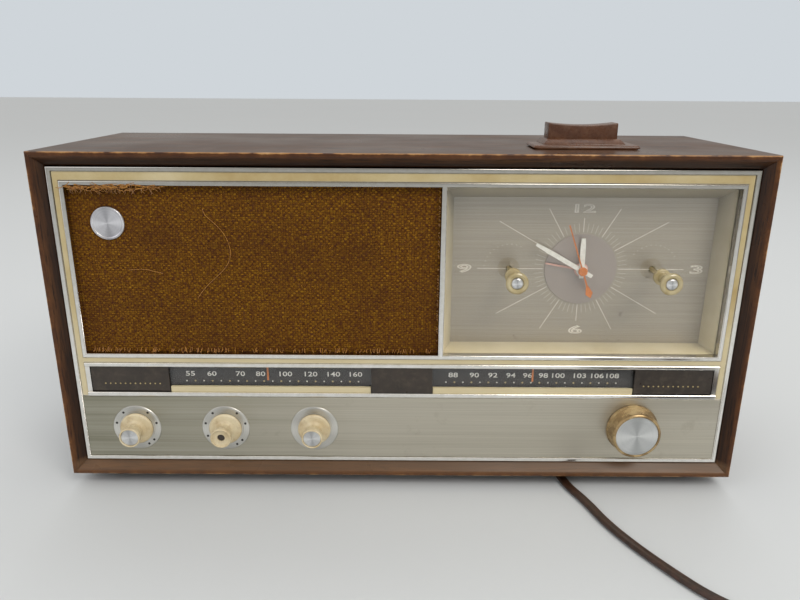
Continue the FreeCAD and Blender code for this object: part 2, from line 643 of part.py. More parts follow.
for up in ("-0.75", "0", "0.75"):
    # the stator's bars lie on a circle just outside the turning vanes
    across = math.sqrt(1 - float(up) ** 2)
    stator_parts.append(rod("1.1", f"(vane_radius + 1.7) * {across:.6f}", "gang_front",
                            f"drum_z + (vane_radius + 1.7) * {up}", "gang_deep"))
piece("gang_rotor", joined(*rotor_parts))
piece("gang_frame", joined(*stator_parts))

carriage_low = "rail_z - rail_radius + 0.2"
carriage_top = "rail_z + rail_radius + seat"
leaf_front = "pointer_front + pointer_wall"
leaf_back = "rail_set + rail_radius + seat"
arm = "am_x - pointer_wide"
channel = new_body(arm)
grow(channel, sketch(channel, "YZ", [
    (leaf_front, carriage_low), (f"{leaf_front} + carriage_wall", carriage_low),
    (f"{leaf_front} + carriage_wall", carriage_top), (leaf_back, carriage_top), (leaf_back, carriage_low),
    (f"{leaf_back} + carriage_wall", carriage_low),
    (f"{leaf_back} + carriage_wall", f"{carriage_top} + carriage_wall"),
    (leaf_front, f"{carriage_top} + carriage_wall")]), "fm_x - am_x + 2 * pointer_wide", back=False)
pointers = [block(f"{x} - pointer_wide / 2", f"{x} + pointer_wide / 2", "pointer_front", leaf_front,
                  "slot_high - 10", carriage_top) for x in ("am_x", "fm_x")]
piece("pointer_carriage", joined(channel, *pointers))

# The dial cord runs from the spindle round the drum's foot and the two guide studs.
cord_gap = "cord_thick + 0.3"
cord_front = value("front + apron_back + 5.5")
cord_rear = value("front + drum_set + drum_wide / 2")
level = value("foot_height")
wheels = [((0, value("drum_z") + level), value(f"drum_radius + 1 + {cord_gap}"), cord_rear),
          ((value("tuning_x"), value("tuning_z") + level), value(f"spindle_rim + {cord_gap}"), cord_rear),
          ((value("post_x"), value("post_z") + level), value(f"post_radius + {cord_gap}"), cord_front),
          ((-value("post_x"), value("post_z") + level), value(f"post_radius + {cord_gap}"), cord_front)]


def belt_points(wheels, step=math.radians(30)):
    """Points along a belt pulled round the outside of some wheels, listed anticlockwise."""
    leave = []
    for (a, ra, ya), (b, rb, yb) in zip(wheels, wheels[1:] + wheels[:1]):
        gap = math.dist(a, b)
        heading = math.atan2(b[1] - a[1], b[0] - a[0])
        leave.append(heading - math.acos((ra - rb) / gap))
    points = []
    for i, (centre, radius, y) in enumerate(wheels):
        start = leave[i - 1]
        sweep = (leave[i] - start) % math.tau
        count = max(round(sweep / step), 1)
        for k in range(count + 1):
            angle = start + sweep * k / count
            points.append(Vector(centre[0] + radius * math.cos(angle), y, centre[1] + radius * math.sin(angle)))
    return points


def string_along(points, radius):
    """A thin closed string of straight lengths, each run a little past its ends into the next."""
    lengths = []
    for start, end in zip(points, points[1:] + points[:1]):
        along = (end - start).normalize()
        lengths.append(Part.makeCylinder(radius, (end - start).Length + radius, start - along * radius / 2, along))
    return lengths[0].fuse(lengths[1:])


dial_cord = document.addObject("Part::Feature", "dial_cord")
dial_cord.Shape = string_along(belt_points(wheels), value("cord_thick"))
piece("dial_cord", dial_cord)

# ---- controls ----

can_back = "apron_back + pot_deep"
pots = [turned([("shaft + fit", "mask_set + 0.5"), ("bush", "mask_set + 0.5"), ("bush", "apron_back"),
                ("pot_radius", "apron_back"), ("pot_radius", can_back), ("0", can_back),
                ("0", f"{can_back} - 2"), ("shaft + fit", f"{can_back} - 2")], x, "small_z")
        for x in ("volume_x", "tone_x")]
piece("volume_and_tone_controls", joined(*pots))
switch = turned([("shaft + fit", "mask_set + 0.5"), ("bush", "mask_set + 0.5"), ("bush", "apron_back"),
                 ("pot_radius", "apron_back"), ("pot_radius", "apron_back + 3"), ("6", "apron_back + 3"),
                 ("6", "apron_back + 8"), ("pot_radius + 3", "apron_back + 8"),
                 ("pot_radius + 3", "apron_back + 9.6"), ("6", "apron_back + 9.6"), ("6", can_back),
                 ("0", can_back), ("0", f"{can_back} - 2"), ("shaft + fit", f"{can_back} - 2")],
                "selector_x", "small_z")
piece("selector_switch", switch)

tip = "-front_reach"
small_knob = [("0", f"{tip} + cap_rim"), ("small_tip - 1", f"{tip} + cap_rim"), ("small_tip - 1", tip),
              ("small_tip - 0.5", tip), ("small_tip", f"{tip} + 0.5", "0.5"), ("small_tip", f"{tip} + 2"),
              ("small_stem", f"{tip} + 6", "-9"), ("small_stem", "knob_back - 3.4"),
              ("small_stem + 1.4", "knob_back - 2", "-1.4"), ("small_flange - 0.8", "knob_back - 2"),
              ("small_flange", "knob_back - 1.2", "0.8"), ("small_flange", "knob_back"),
              ("shaft", "knob_back"), ("shaft", f"{can_back} - 2.3"), ("0", f"{can_back} - 2.3")]
cap = ring("0", "small_tip - 1 - fit", f"{tip} + cap_rim - cap_wall", f"{tip} + cap_rim")
for name, x in (("volume_knob", "volume_x"), ("tone_knob", "tone_x"), ("selector_knob", "selector_x")):
    piece(name, turned(small_knob, x, "small_z"))
    if name != "tone_knob":
        piece(name + "_cap", turned(cap, x, "small_z"))

nose = "-tuning_reach"
hub = "panel_face - run"
tuning = turned([("shaft + fit", hub), ("tuning_base", hub), ("tuning_base", f"{hub} - 1.2"),
                 ("tuning_base - 0.6", f"{hub} - 1.8", "0.6"), ("tuning_nose + 0.3", f"{hub} - 2.2"),
                 ("tuning_nose", f"{nose} + 1.2"), ("tuning_nose - 1.2", nose, "1.2"),
                 ("tuning_nose - 1.7", nose), ("tuning_nose - 1.7", f"{nose} + cap_wall + 0.3"),
                 ("0", f"{nose} + cap_wall + 0.3"), ("0", f"{nose} + 4 - seat"),
                 ("shaft + fit", f"{nose} + 4 - seat")], "tuning_x", "tuning_z")
piece("tuning_knob", tuning)
face = turned(ring("0", "tuning_nose - 1.7 - fit", f"{nose} + 0.3", f"{nose} + cap_wall + 0.3"),
              "tuning_x", "tuning_z")
piece("tuning_knob_face", face)

# ---- clock ----

post_left = "clock_x - post_apart"
post_right = "clock_x + post_apart"
crystal = plate([rectangle("shroud_left", "shroud_right", "shroud_low", "shroud_high"),
                 ("circle", post_left, "clock_z", "post_shaft + seat"),
                 ("circle", post_right, "clock_z", "post_shaft + seat")], "crystal_front", "crystal_wall")
piece("clock_crystal", crystal)
dial_left = "clock_x - dial_half"
dial_right = "clock_x + dial_half"
shroud = new_body()
grow(shroud, sketch(shroud, "XZ", rectangle("shroud_left", "shroud_right", "shroud_low", "shroud_high"),
                    offset="-shroud_front"), "dial_set - shroud_front")
document.recompute()
mouth = sketch(shroud, "XZ", rectangle("divider_right + 0.4", "window_side - 0.4", "window_low + 0.4",
                                       "window_high - 0.4"), offset="-shroud_front")
throat = sketch(shroud, "XZ", rectangle(dial_left, dial_right, "dial_low", "dial_high"), offset="-dial_set")
taper = shroud.newObject("PartDesign::SubtractiveLoft", "taper")
taper.Profile = mouth
taper.Sections = [throat]
taper.Ruled = True
piece("clock_shroud", shroud)
dial = plate([rectangle(f"{dial_left} - 2", f"{dial_right} + 2", "dial_low - 2", "dial_high + 2"),
              ("circle", "clock_x", "clock_z", "dial_bore"),
              ("circle", post_left, "clock_z", "post_shaft + seat"),
              ("circle", post_right, "clock_z", "post_shaft + seat")], "dial_set", "dial_wall")
disc = turned(ring("dial_bore", "disc_radius", "disc_front", "dial_set"), "clock_x", "clock_z")
piece("clock_dial", joined(dial, disc))

core = turned([("0", "dial_back - 1"), ("dial_bore", "dial_back - 1"), ("dial_bore", "alarm_end + 0.5"),
               ("hour_out + sleeve_gap", "alarm_end + 0.5"), ("hour_out + sleeve_gap", "hour_end + 0.5"),
               ("minute_out + sleeve_gap", "hour_end + 0.5"),
               ("minute_out + sleeve_gap", "motor_back + 1"), ("0", "motor_back + 1")],
              "clock_x", "clock_z")
case = block("clock_x - movement_half", "clock_x + movement_half", "dial_back", "movement_back",
             "clock_z - movement_high", "clock_z + movement_high")
shaft_bores = [rod("post_shaft + seat", x, "dial_back - 1", "clock_z", "9") for x in (post_left, post_right)]
alarm_set_at = ("clock_x + alarm_set_x", "clock_z + alarm_set_z")
shaft_bores.append(rod("post_shaft + seat", alarm_set_at[0], "movement_back - 8", alarm_set_at[1], "9"))
motor = joined(rod("motor_radius", "clock_x - 24", "movement_back", "clock_z - 12", "motor_deep"),
               block("clock_x - 24 - motor_radius", "clock_x - 24 + motor_radius", "movement_back",
                     "movement_back + motor_deep - 3", "clock_z + 6", "clock_z + 28"))
piece("clock_movement", cut(joined(case, motor), core, *shaft_bores))


def hand(angle, length, wide, tail, back, hole, sleeve_out, sleeve_end, tip_wide):
    """A hand that points at an angle clockwise from twelve, with the sleeve that carries it."""
    blade = plate([[(f"-({wide}) / 2", "0"), (f"-({wide}) / 2 * 0.8", f"-({tail})"),
                    (f"({wide}) / 2 * 0.8", f"-({tail})"), (f"({wide}) / 2", "0"),
                    (f"({wide}) / 2", f"({length}) * 0.72"), (f"{tip_wide} / 2", length),
                    (f"-{tip_wide} / 2", length), (f"-({wide}) / 2", f"({length}) * 0.72")]],
                  f"{back} - hand_wall", "hand_wall", "clock_x", "clock_z", angle)
    hub_disc = turned(ring("0", f"{sleeve_out} + 0.8", f"{back} - hand_wall", back), "clock_x", "clock_z")
    sleeve = turned(ring("0", sleeve_out, f"{back} - hand_wall", sleeve_end), "clock_x", "clock_z")
    solid = joined(blade, hub_disc, sleeve)
    if hole:
        solid = cut(solid, turned(ring("0", hole[0], f"{back} - 2", hole[1]), "clock_x", "clock_z"))
    return solid


piece("alarm_hand", hand(ALARM_ANGLE, "alarm_length", "1.2", "0.1", "alarm_back", ("alarm_in", "alarm_end + 1"),
                         "alarm_out", "alarm_end", "0.8"))
piece("hour_hand", hand(HOUR_ANGLE, "hour_length", "3.2", "5", "hour_back", ("hour_in", "hour_end + 1"),
                        "hour_out", "hour_end", "2.4"))
piece("minute_hand", hand(MINUTE_ANGLE, "minute_length", "2.8", "7", "minute_back",
                          ("minute_in", "second_end + 0.5"), "minute_out", "set_knob_front + 2", "1.8"))
arrow = plate([[("-0.45", "-9"), ("-2.2", "-14.5"), ("0", "-17.5"), ("2.2", "-14.5"), ("0.45", "-9"),
                ("0.35", "second_length"), ("-0.35", "second_length")]],
              "second_back - hand_wall", "hand_wall", "clock_x", "clock_z", SECOND_ANGLE)
second_hub = turned([("0", "second_back - hand_wall - 1"), ("2.2", "second_back - hand_wall - 1"),
                     ("2.7", "second_back - hand_wall - 0.5", "0.5"), ("2.7", "second_back"),
                     ("arbor", "second_back"), ("arbor", "second_end"), ("0", "second_end")],
                    "clock_x", "clock_z")
piece("second_hand", joined(arrow, second_hub))

collar_back = "crystal_front - seat"
clock_knob = [("0", f"{tip} + cap_rim"), ("clock_tip - 2.6", f"{tip} + cap_rim"), ("clock_tip - 2.6", tip),
              ("clock_tip - 1", tip), ("clock_tip", f"{tip} + 1", "1"), ("clock_tip", f"{tip} + 2"),
              ("3.1", f"{tip} + 9", "-16"), ("3.1", f"{collar_back} - 2.6"),
              ("clock_collar - 0.6", f"{collar_back} - 2.6"), ("clock_collar", f"{collar_back} - 2", "0.6"),
              ("clock_collar", collar_back), ("post_shaft", collar_back),
              ("post_shaft", "dial_back + 7"), ("0", "dial_back + 7")]
clock_cap = [("0", tip), ("clock_tip - 3.4", tip), ("clock_tip - 2.6 - fit", f"{tip} + 0.7"),
             ("clock_tip - 2.6 - fit", f"{tip} + cap_rim"), ("0", f"{tip} + cap_rim")]
for name, x in (("sleep_timer_knob", post_left), ("wake_mode_knob", post_right)):
    piece(name, joined(turned(clock_knob, x, "clock_z"), turned(clock_cap, x, "clock_z")))

set_knob_end = "set_knob_front + set_knob_deep"
set_grip = [("post_shaft + 0.6", "set_knob_front"), ("set_knob - 1", "set_knob_front"),
            ("set_knob", "set_knob_front + 1", "1"), ("set_knob", f"{set_knob_end} - 1"),
            ("set_knob - 1", set_knob_end, "1"), ("0", set_knob_end)]
time_set = turned([("post_shaft + fit", "set_knob_front")] + set_grip[1:]
                  + [("0", "set_knob_front + 2 + fit"), ("post_shaft + fit", "set_knob_front + 2 + fit")],
                  "clock_x", "clock_z")
piece("time_set_knob", time_set)
alarm_set = turned([("0", "movement_back - 6"), ("post_shaft", "movement_back - 6"),
                    ("post_shaft", "set_knob_front")] + set_grip[1:], *alarm_set_at)
piece("alarm_set_knob", alarm_set)

# ---- snooze bar ----

bar_hole = rectangle("-snooze_wide / 2 - seat", "snooze_wide / 2 + seat", "-snooze_deep / 2 - seat",
                     "snooze_deep / 2 + seat")
escutcheon = new_body("snooze_x", "snooze_set", "height")
half_wide = "escutcheon_wide / 2"
half_deep = "escutcheon_deep / 2"
grow(escutcheon, sketch(escutcheon, "XY", rectangle(f"-{half_wide}", half_wide, f"-{half_deep}", half_deep)),
     "escutcheon_edge", back=False)
document.recompute()
foot_outline = sketch(escutcheon, "XY", rectangle(f"-{half_wide} + 0.6", f"{half_wide} - 0.6",
                                                  f"-{half_deep} + 0.6", f"{half_deep} - 0.6"),
                      offset="escutcheon_edge")
brow_outline = sketch(escutcheon, "XY", rectangle("-snooze_wide / 2 - 3", "snooze_wide / 2 + 3",
                                                  "-snooze_deep / 2 - 3", "snooze_deep / 2 + 3"),
                      offset="escutcheon_high")
slope = escutcheon.newObject("PartDesign::AdditiveLoft", "slope")
slope.Profile = foot_outline
slope.Sections = [brow_outline]
slope.Ruled = True
document.recompute()
sink(escutcheon, sketch(escutcheon, "XY", bar_hole))
piece("snooze_escutcheon", escutcheon)

bar = new_body("snooze_x", "snooze_set", "height")
bar_top = "snooze_high + 3"
saddle = [("-snooze_wide / 2", "snooze_travel + 0.5"), ("snooze_wide / 2", "snooze_travel + 0.5"),
          ("snooze_wide / 2", bar_top), ("-snooze_wide / 2", bar_top, "-snooze_wide * 3.2")]
grow(bar, sketch(bar, "XZ", saddle), "snooze_deep", middle=True)
stem_low = "clock_z + movement_high + snooze_travel + 0.5"
stem = rod("plunger", "snooze_x", "snooze_set", stem_low, f"height + snooze_travel + 1 - ({stem_low})", axis="z")
piece("snooze_bar", joined(bar, stem))

# ---- back ----

cover = new_body("0", "cover_front")
grow(cover, sketch(cover, "XZ", rectangle("-half + back_step + seat", "half - back_step - seat",
                                          "back_step + seat", "height - back_step - seat"),
                   ("circle", "clock_x", "clock_z", "post_shaft + 0.4"),
                   ("circle", *alarm_set_at, "post_shaft + 0.4"),
                   ("circle", "cord_x", "cord_z", "gland_radius - 1.4")), "cover_wall")
screw_places = [(f"{side} * (half - screw_inset)", z) for side in ("-1", "1")
                for z in ("18", "height / 2", "height - 18")]
for z in ("25", "75", "height - 48"):
    # the middle row is one slot shorter, beside the cord's strain relief
    document.recompute()
    slot_left = "slot_margin - half"
    slots = sketch(cover, "XZ", rectangle(slot_left, f"{slot_left} + slot_wide", z, f"{z} + slot_long"))
    first_slot = sink(cover, slots)
    document.recompute()
    row = cover.newObject("PartDesign::LinearPattern", "row")
    row.Originals = [first_slot]
    row.Direction = (slots, ["H_Axis"])
    row_long = "width - 212" if z == "75" else "width - 194"
    row.setExpression("Length", full(row_long))
    row.Occurrences = 12 if z == "75" else 13
    cover.Tip = row
screw_holes = [rod("screw_head / 2", x, "cover_front - 1", z, "cover_wall + 2") for x, z in screw_places]
piece("back_cover", cut(cover, *screw_holes))
screw = [("0", "cover_front + 0.2"), ("screw_head / 2 - fit", "cover_front + 0.2"),
         ("screw_head / 2 - fit", "cover_face"), ("screw_head", "cover_face"),
         ("screw_head - 1", "cover_face + 1.6"), ("0", "cover_face + 1.6")]
piece("back_screws", joined(*[turned(screw, x, z) for x, z in screw_places]))
terminals = [block("-24", "24", "cover_face", "cover_face + 2.5", "112", "126")]
terminals += [rod("3", x, "cover_face + 2.5", "119", "1.4") for x in ("-15", "0", "15")]
piece("antenna_terminals", joined(*terminals))
ferrite_place = "deck_back - 4"
ferrite_left = "ferrite_in - half"
ferrite_z = "height - ferrite_down"
ferrite = [rod("ferrite_radius", ferrite_left, ferrite_place, ferrite_z, "ferrite_long", axis="x")]
for x in (f"{ferrite_left} + 10", f"{ferrite_left} + ferrite_long - 20"):
    # a clip holds each end of the rod on the back cover
    ferrite.append(block(x, f"{x} + 5", ferrite_place, "cover_front", f"{ferrite_z} - 3", f"{ferrite_z} + 3"))
piece("ferrite_rod", joined(*ferrite))
gland_end = "cover_face + gland_out"
gland = turned([("0", "cover_front - 2"), ("gland_radius - 0.6", "cover_front - 2"),
                ("gland_radius - 0.6", "cover_front"), ("gland_radius - 1.4 - fit", "cover_front"),
                ("gland_radius - 1.4 - fit", "cover_face"), ("gland_radius", "cover_face"),
                ("gland_radius", "cover_face + 2"), ("cord_radius + 1.2", gland_end), ("0", gland_end)],
               "cord_x", "cord_z")
piece("strain_relief", gland)

# ---- power cord ----
# Its route: out of the strain relief, down to the table behind the case, forward between the feet and
# out to the right. Each point is (x, depth behind the front edge, height above the table).
ROUTE = [(94, 143, 62), (94, 162, 62), (95, 182, 50), (96, 191, 29), (97, 182, 9), (98, 160, 2.2),
         (100, 125, 2.2), (99, 78, 2.2), (100, 34, 2.2), (103, 4, 2.2), (112, -16, 2.2), (118, -37, 2.2),
         (128, -58, 2.2), (140, -78, 2.2), (153, -97, 2.2), (171, -112, 2.2), (192, -120, 3), (212, -122, 5)]
EASE = 0.45

route = [Vector(x, value("front") + y, z) for x, y, z in ROUTE]


def cord_path(points):
    """Straight runs joined by tangent arcs, each arc as large as its two runs allow."""
    edges = []
    here = points[0]
    for before, corner, after in zip(points, points[1:], points[2:]):
        into = (corner - before).normalize()
        out = (after - corner).normalize()
        half_turn = into.getAngle(out) / 2
        setback = EASE * min((corner - before).Length, (after - corner).Length)
        radius = setback / math.tan(half_turn)
        print(f"cord turn {math.degrees(2 * half_turn):5.1f} degrees, radius {radius:6.1f} mm")
        start = corner - into * setback
        end = corner + out * setback
        middle = corner + (out - into).normalize() * radius * (1 / math.cos(half_turn) - 1)
        edges.append(Part.LineSegment(here, start).toShape())
        edges.append(Part.Arc(start, middle, end).toShape())
        here = end
    edges.append(Part.LineSegment(here, points[-1]).toShape())
    return Part.Wire(edges)


path = cord_path(route)
section = Part.Wire([Part.makeCircle(value("cord_radius"), route[0], Vector(0, 1, 0))])
cord_run = document.addObject("Part::Feature", "cord_run")
cord_run.Shape = path.makePipeShell([section], True, False)
piece("power_cord_run", cord_run)
ideal = math.pi * value("cord_radius") ** 2 * path.Length
print(f"cord {path.Length:.0f} mm long, volume {cord_run.Shape.Volume:.0f} of {ideal:.0f} mm3")

# The rest of the cord lies in a flat coil beside the run's end; its outer shape is one fat ring. The cord
# comes to it and leaves it along short straight leads, and the second one ends in the plug.
last = route[-1]
heading = (route[-1] - route[-2]).normalize()
reach_in = math.sqrt(value("(coil_radius + coil_thick) ^ 2 - coil_radius ^ 2")) + 4
reach_out = reach_in + 9
coil_middle = last + heading * reach_in + Vector(heading.y, -heading.x, 0).normalize() * value("coil_radius")
coil_middle.z = value("coil_thick")
backwards = Vector(-1, 0, 0)
plug_level = value("plug_high / 2")
lead_out = Vector(coil_middle.x, coil_middle.y - value("coil_radius"), plug_level)
ring_solid = Part.makeTorus(value("coil_radius"), value("coil_thick"), coil_middle)
lead_in_solid = Part.makeCylinder(value("cord_radius"), reach_in, last, heading)
lead_out_solid = Part.makeCylinder(value("cord_radius"), reach_out, lead_out, backwards)
coil = document.addObject("Part::Feature", "coil")
coil.Shape = ring_solid.fuse([lead_in_solid, lead_out_solid])
piece("power_cord_coil", coil)

plug_at = lead_out + backwards * reach_out
plug_body = document.addObject("PartDesign::Body", "plug_body")
plug_body.Placement = Placement(plug_at, Rotation(Vector(0, 0, 1), 180))
plug_waist = sketch(plug_body, "YZ", rectangle("-plug_wide * 0.3", "plug_wide * 0.3", "-plug_high / 2",
                                               "plug_high * 0.3"))
plug_nose = sketch(plug_body, "YZ", rectangle("-plug_wide / 2", "plug_wide / 2", "-plug_high / 2",
                                              "plug_high / 2"), offset="plug_long")
plug_form = plug_body.newObject("PartDesign::AdditiveLoft", "plug_form")
plug_form.Profile = plug_waist
plug_form.Sections = [plug_nose]
plug_form.Ruled = True
blade_long, blade_wide, blade_wall, blade_apart = 16, 6.3, 1.5, 12.7
blades = []
for side in (-1, 1):
    blade_solid = document.addObject("Part::Box", "blade")
    blade_solid.Length = blade_long
    blade_solid.Width = blade_wall
    blade_solid.Height = blade_wide
    corner = Vector(-value("plug_long") - blade_long, side * blade_apart / 2 - blade_wall / 2, -blade_wide / 2)
    blade_solid.Placement = Placement(plug_at + corner, Rotation())
    blades.append(blade_solid)
piece("power_plug", joined(plug_body, *blades))

# ---- holes made for neighbours, then the files ----

plunger_hole = sketch(top, "XY", ("circle", "snooze_x", "snooze_set", "plunger + seat"))
sink(top, plunger_hole)

document.recompute()
for thing in document.Objects:
    if {"Invalid", "Error"} & set(thing.State):
        raise RuntimeError(f"{thing.Label} failed: {thing.State}")
os.makedirs("parts", exist_ok=True)
for thing in pieces:
    shape = thing.Shape
    if shape.isNull() or not shape.isValid() or not shape.Solids:
        raise RuntimeError(f"{thing.Label} has no sound shape")
for thing in pieces:
    thing.Shape.exportStep(f"parts/{thing.Label}.step")
print(f"{len(pieces)} pieces")
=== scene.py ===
import json
import math
import random

import bpy
import bmesh
from mathutils import Matrix, Vector

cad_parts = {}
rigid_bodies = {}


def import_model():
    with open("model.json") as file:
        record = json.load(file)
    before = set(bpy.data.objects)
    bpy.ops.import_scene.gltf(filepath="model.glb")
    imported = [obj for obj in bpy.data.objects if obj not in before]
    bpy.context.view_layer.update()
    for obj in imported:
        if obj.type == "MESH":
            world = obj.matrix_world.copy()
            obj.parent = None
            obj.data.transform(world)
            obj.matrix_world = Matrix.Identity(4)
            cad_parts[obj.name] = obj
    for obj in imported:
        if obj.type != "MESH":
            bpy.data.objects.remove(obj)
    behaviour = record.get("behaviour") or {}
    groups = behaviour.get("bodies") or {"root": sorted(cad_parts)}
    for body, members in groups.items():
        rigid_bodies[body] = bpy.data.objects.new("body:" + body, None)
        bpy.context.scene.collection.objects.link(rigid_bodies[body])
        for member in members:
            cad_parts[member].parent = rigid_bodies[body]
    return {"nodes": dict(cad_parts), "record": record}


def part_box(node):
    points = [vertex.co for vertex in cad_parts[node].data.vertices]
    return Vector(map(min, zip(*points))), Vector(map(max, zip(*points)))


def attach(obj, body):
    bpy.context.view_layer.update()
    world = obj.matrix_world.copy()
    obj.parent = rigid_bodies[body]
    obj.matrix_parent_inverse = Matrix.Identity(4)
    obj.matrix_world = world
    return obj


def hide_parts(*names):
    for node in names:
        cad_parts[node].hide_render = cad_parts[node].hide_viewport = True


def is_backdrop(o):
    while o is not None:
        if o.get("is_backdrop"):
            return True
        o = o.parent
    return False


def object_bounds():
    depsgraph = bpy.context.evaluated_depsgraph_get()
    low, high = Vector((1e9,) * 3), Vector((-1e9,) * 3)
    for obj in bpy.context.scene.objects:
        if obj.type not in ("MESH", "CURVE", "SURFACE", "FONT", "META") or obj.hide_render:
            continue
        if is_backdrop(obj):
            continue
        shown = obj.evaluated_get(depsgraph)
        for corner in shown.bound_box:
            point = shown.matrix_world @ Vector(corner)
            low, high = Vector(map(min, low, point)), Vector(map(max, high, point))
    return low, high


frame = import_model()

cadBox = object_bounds()
mm = 0.001

# Depths are counted backwards from the case's front edge and heights up from the underside of its wood.
caseLow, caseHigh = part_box("cabinet_bottom")
frontY, woodZ = caseLow.y, caseLow.z
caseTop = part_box("cabinet_top")[1].z


def at(x, depth, z):
    return Vector((x * mm, frontY + depth * mm, woodZ + z * mm))


def middle(node):
    low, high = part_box(node)
    return (low + high) / 2


def discOf(node):
    # A round piece's radius and the depths of its front and its back.
    low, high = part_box(node)
    return (high.x - low.x) / 2 / mm, (low.y - frontY) / mm, (high.y - frontY) / mm


def linked(name, data):
    made = bpy.data.objects.new(name, data)
    bpy.context.collection.objects.link(made)
    return made


# The camera's place, its angles in degrees, and its lens in millimetres.
view = {"place": (-1.2, -378.0, 235.8), "pitch": 17.68, "yaw": 0.03, "roll": 0.34, "lens": 31.07}


def makeCamera():
    lens = bpy.data.cameras.new("camera")
    lens.sensor_width = 36
    lens.lens = view["lens"]
    lens.clip_start = 0.01
    camera = linked("camera", lens)
    turn = (Matrix.Rotation(math.radians(view["yaw"]), 4, "Z")
            @ Matrix.Rotation(math.radians(90 - view["pitch"]), 4, "X")
            @ Matrix.Rotation(math.radians(view["roll"]), 4, "Z"))
    camera.matrix_world = Matrix.Translation(at(*view["place"])) @ turn
    bpy.context.scene.camera = camera


makeCamera()
print("camera placed")


def hexColour(text):
    parts = [int(text[i:i + 2], 16) / 255 for i in (1, 3, 5)]
    linear = [c / 12.92 if c <= 0.04045 else ((c + 0.055) / 1.055) ** 2.4 for c in parts]
    return (*linear, 1.0)


def nodeAdder(tree):
    # Adds one node: its kind, what goes into its sockets, which output to hand on, and its settings.
    def add(kind, values=None, out=None, stops=(), **settings):
        new = tree.nodes.new(kind)
        for key, setting in settings.items():
            setattr(new, key, setting)
        for number, (place, colour) in enumerate(stops):
            marks = new.color_ramp.elements
            mark = marks[number] if number < 2 else marks.new(place)
            mark.position = place
            mark.color = hexColour(colour) if isinstance(colour, str) else (colour, colour, colour, 1)
        for key, value in (values or {}).items():
            if isinstance(value, bpy.types.NodeSocket):
                tree.links.new(value, new.inputs[key])
            else:
                new.inputs[key].default_value = value
        return new if out is None else new.outputs[out]
    return add


def startMaterial(name):
    # A new material, its node adder, and the object's own coordinates.
    made = bpy.data.materials.new(name)
    made.use_nodes = True
    made.node_tree.nodes.clear()
    add = nodeAdder(made.node_tree)
    return made, add, add("ShaderNodeTexCoord", out="Object")


def per(*sizes):
    # How many of a pattern's steps go into a metre, from the size of a step in millimetres.
    counts = tuple(1 / (size * mm) for size in sizes)
    return counts if len(counts) > 1 else counts[0]


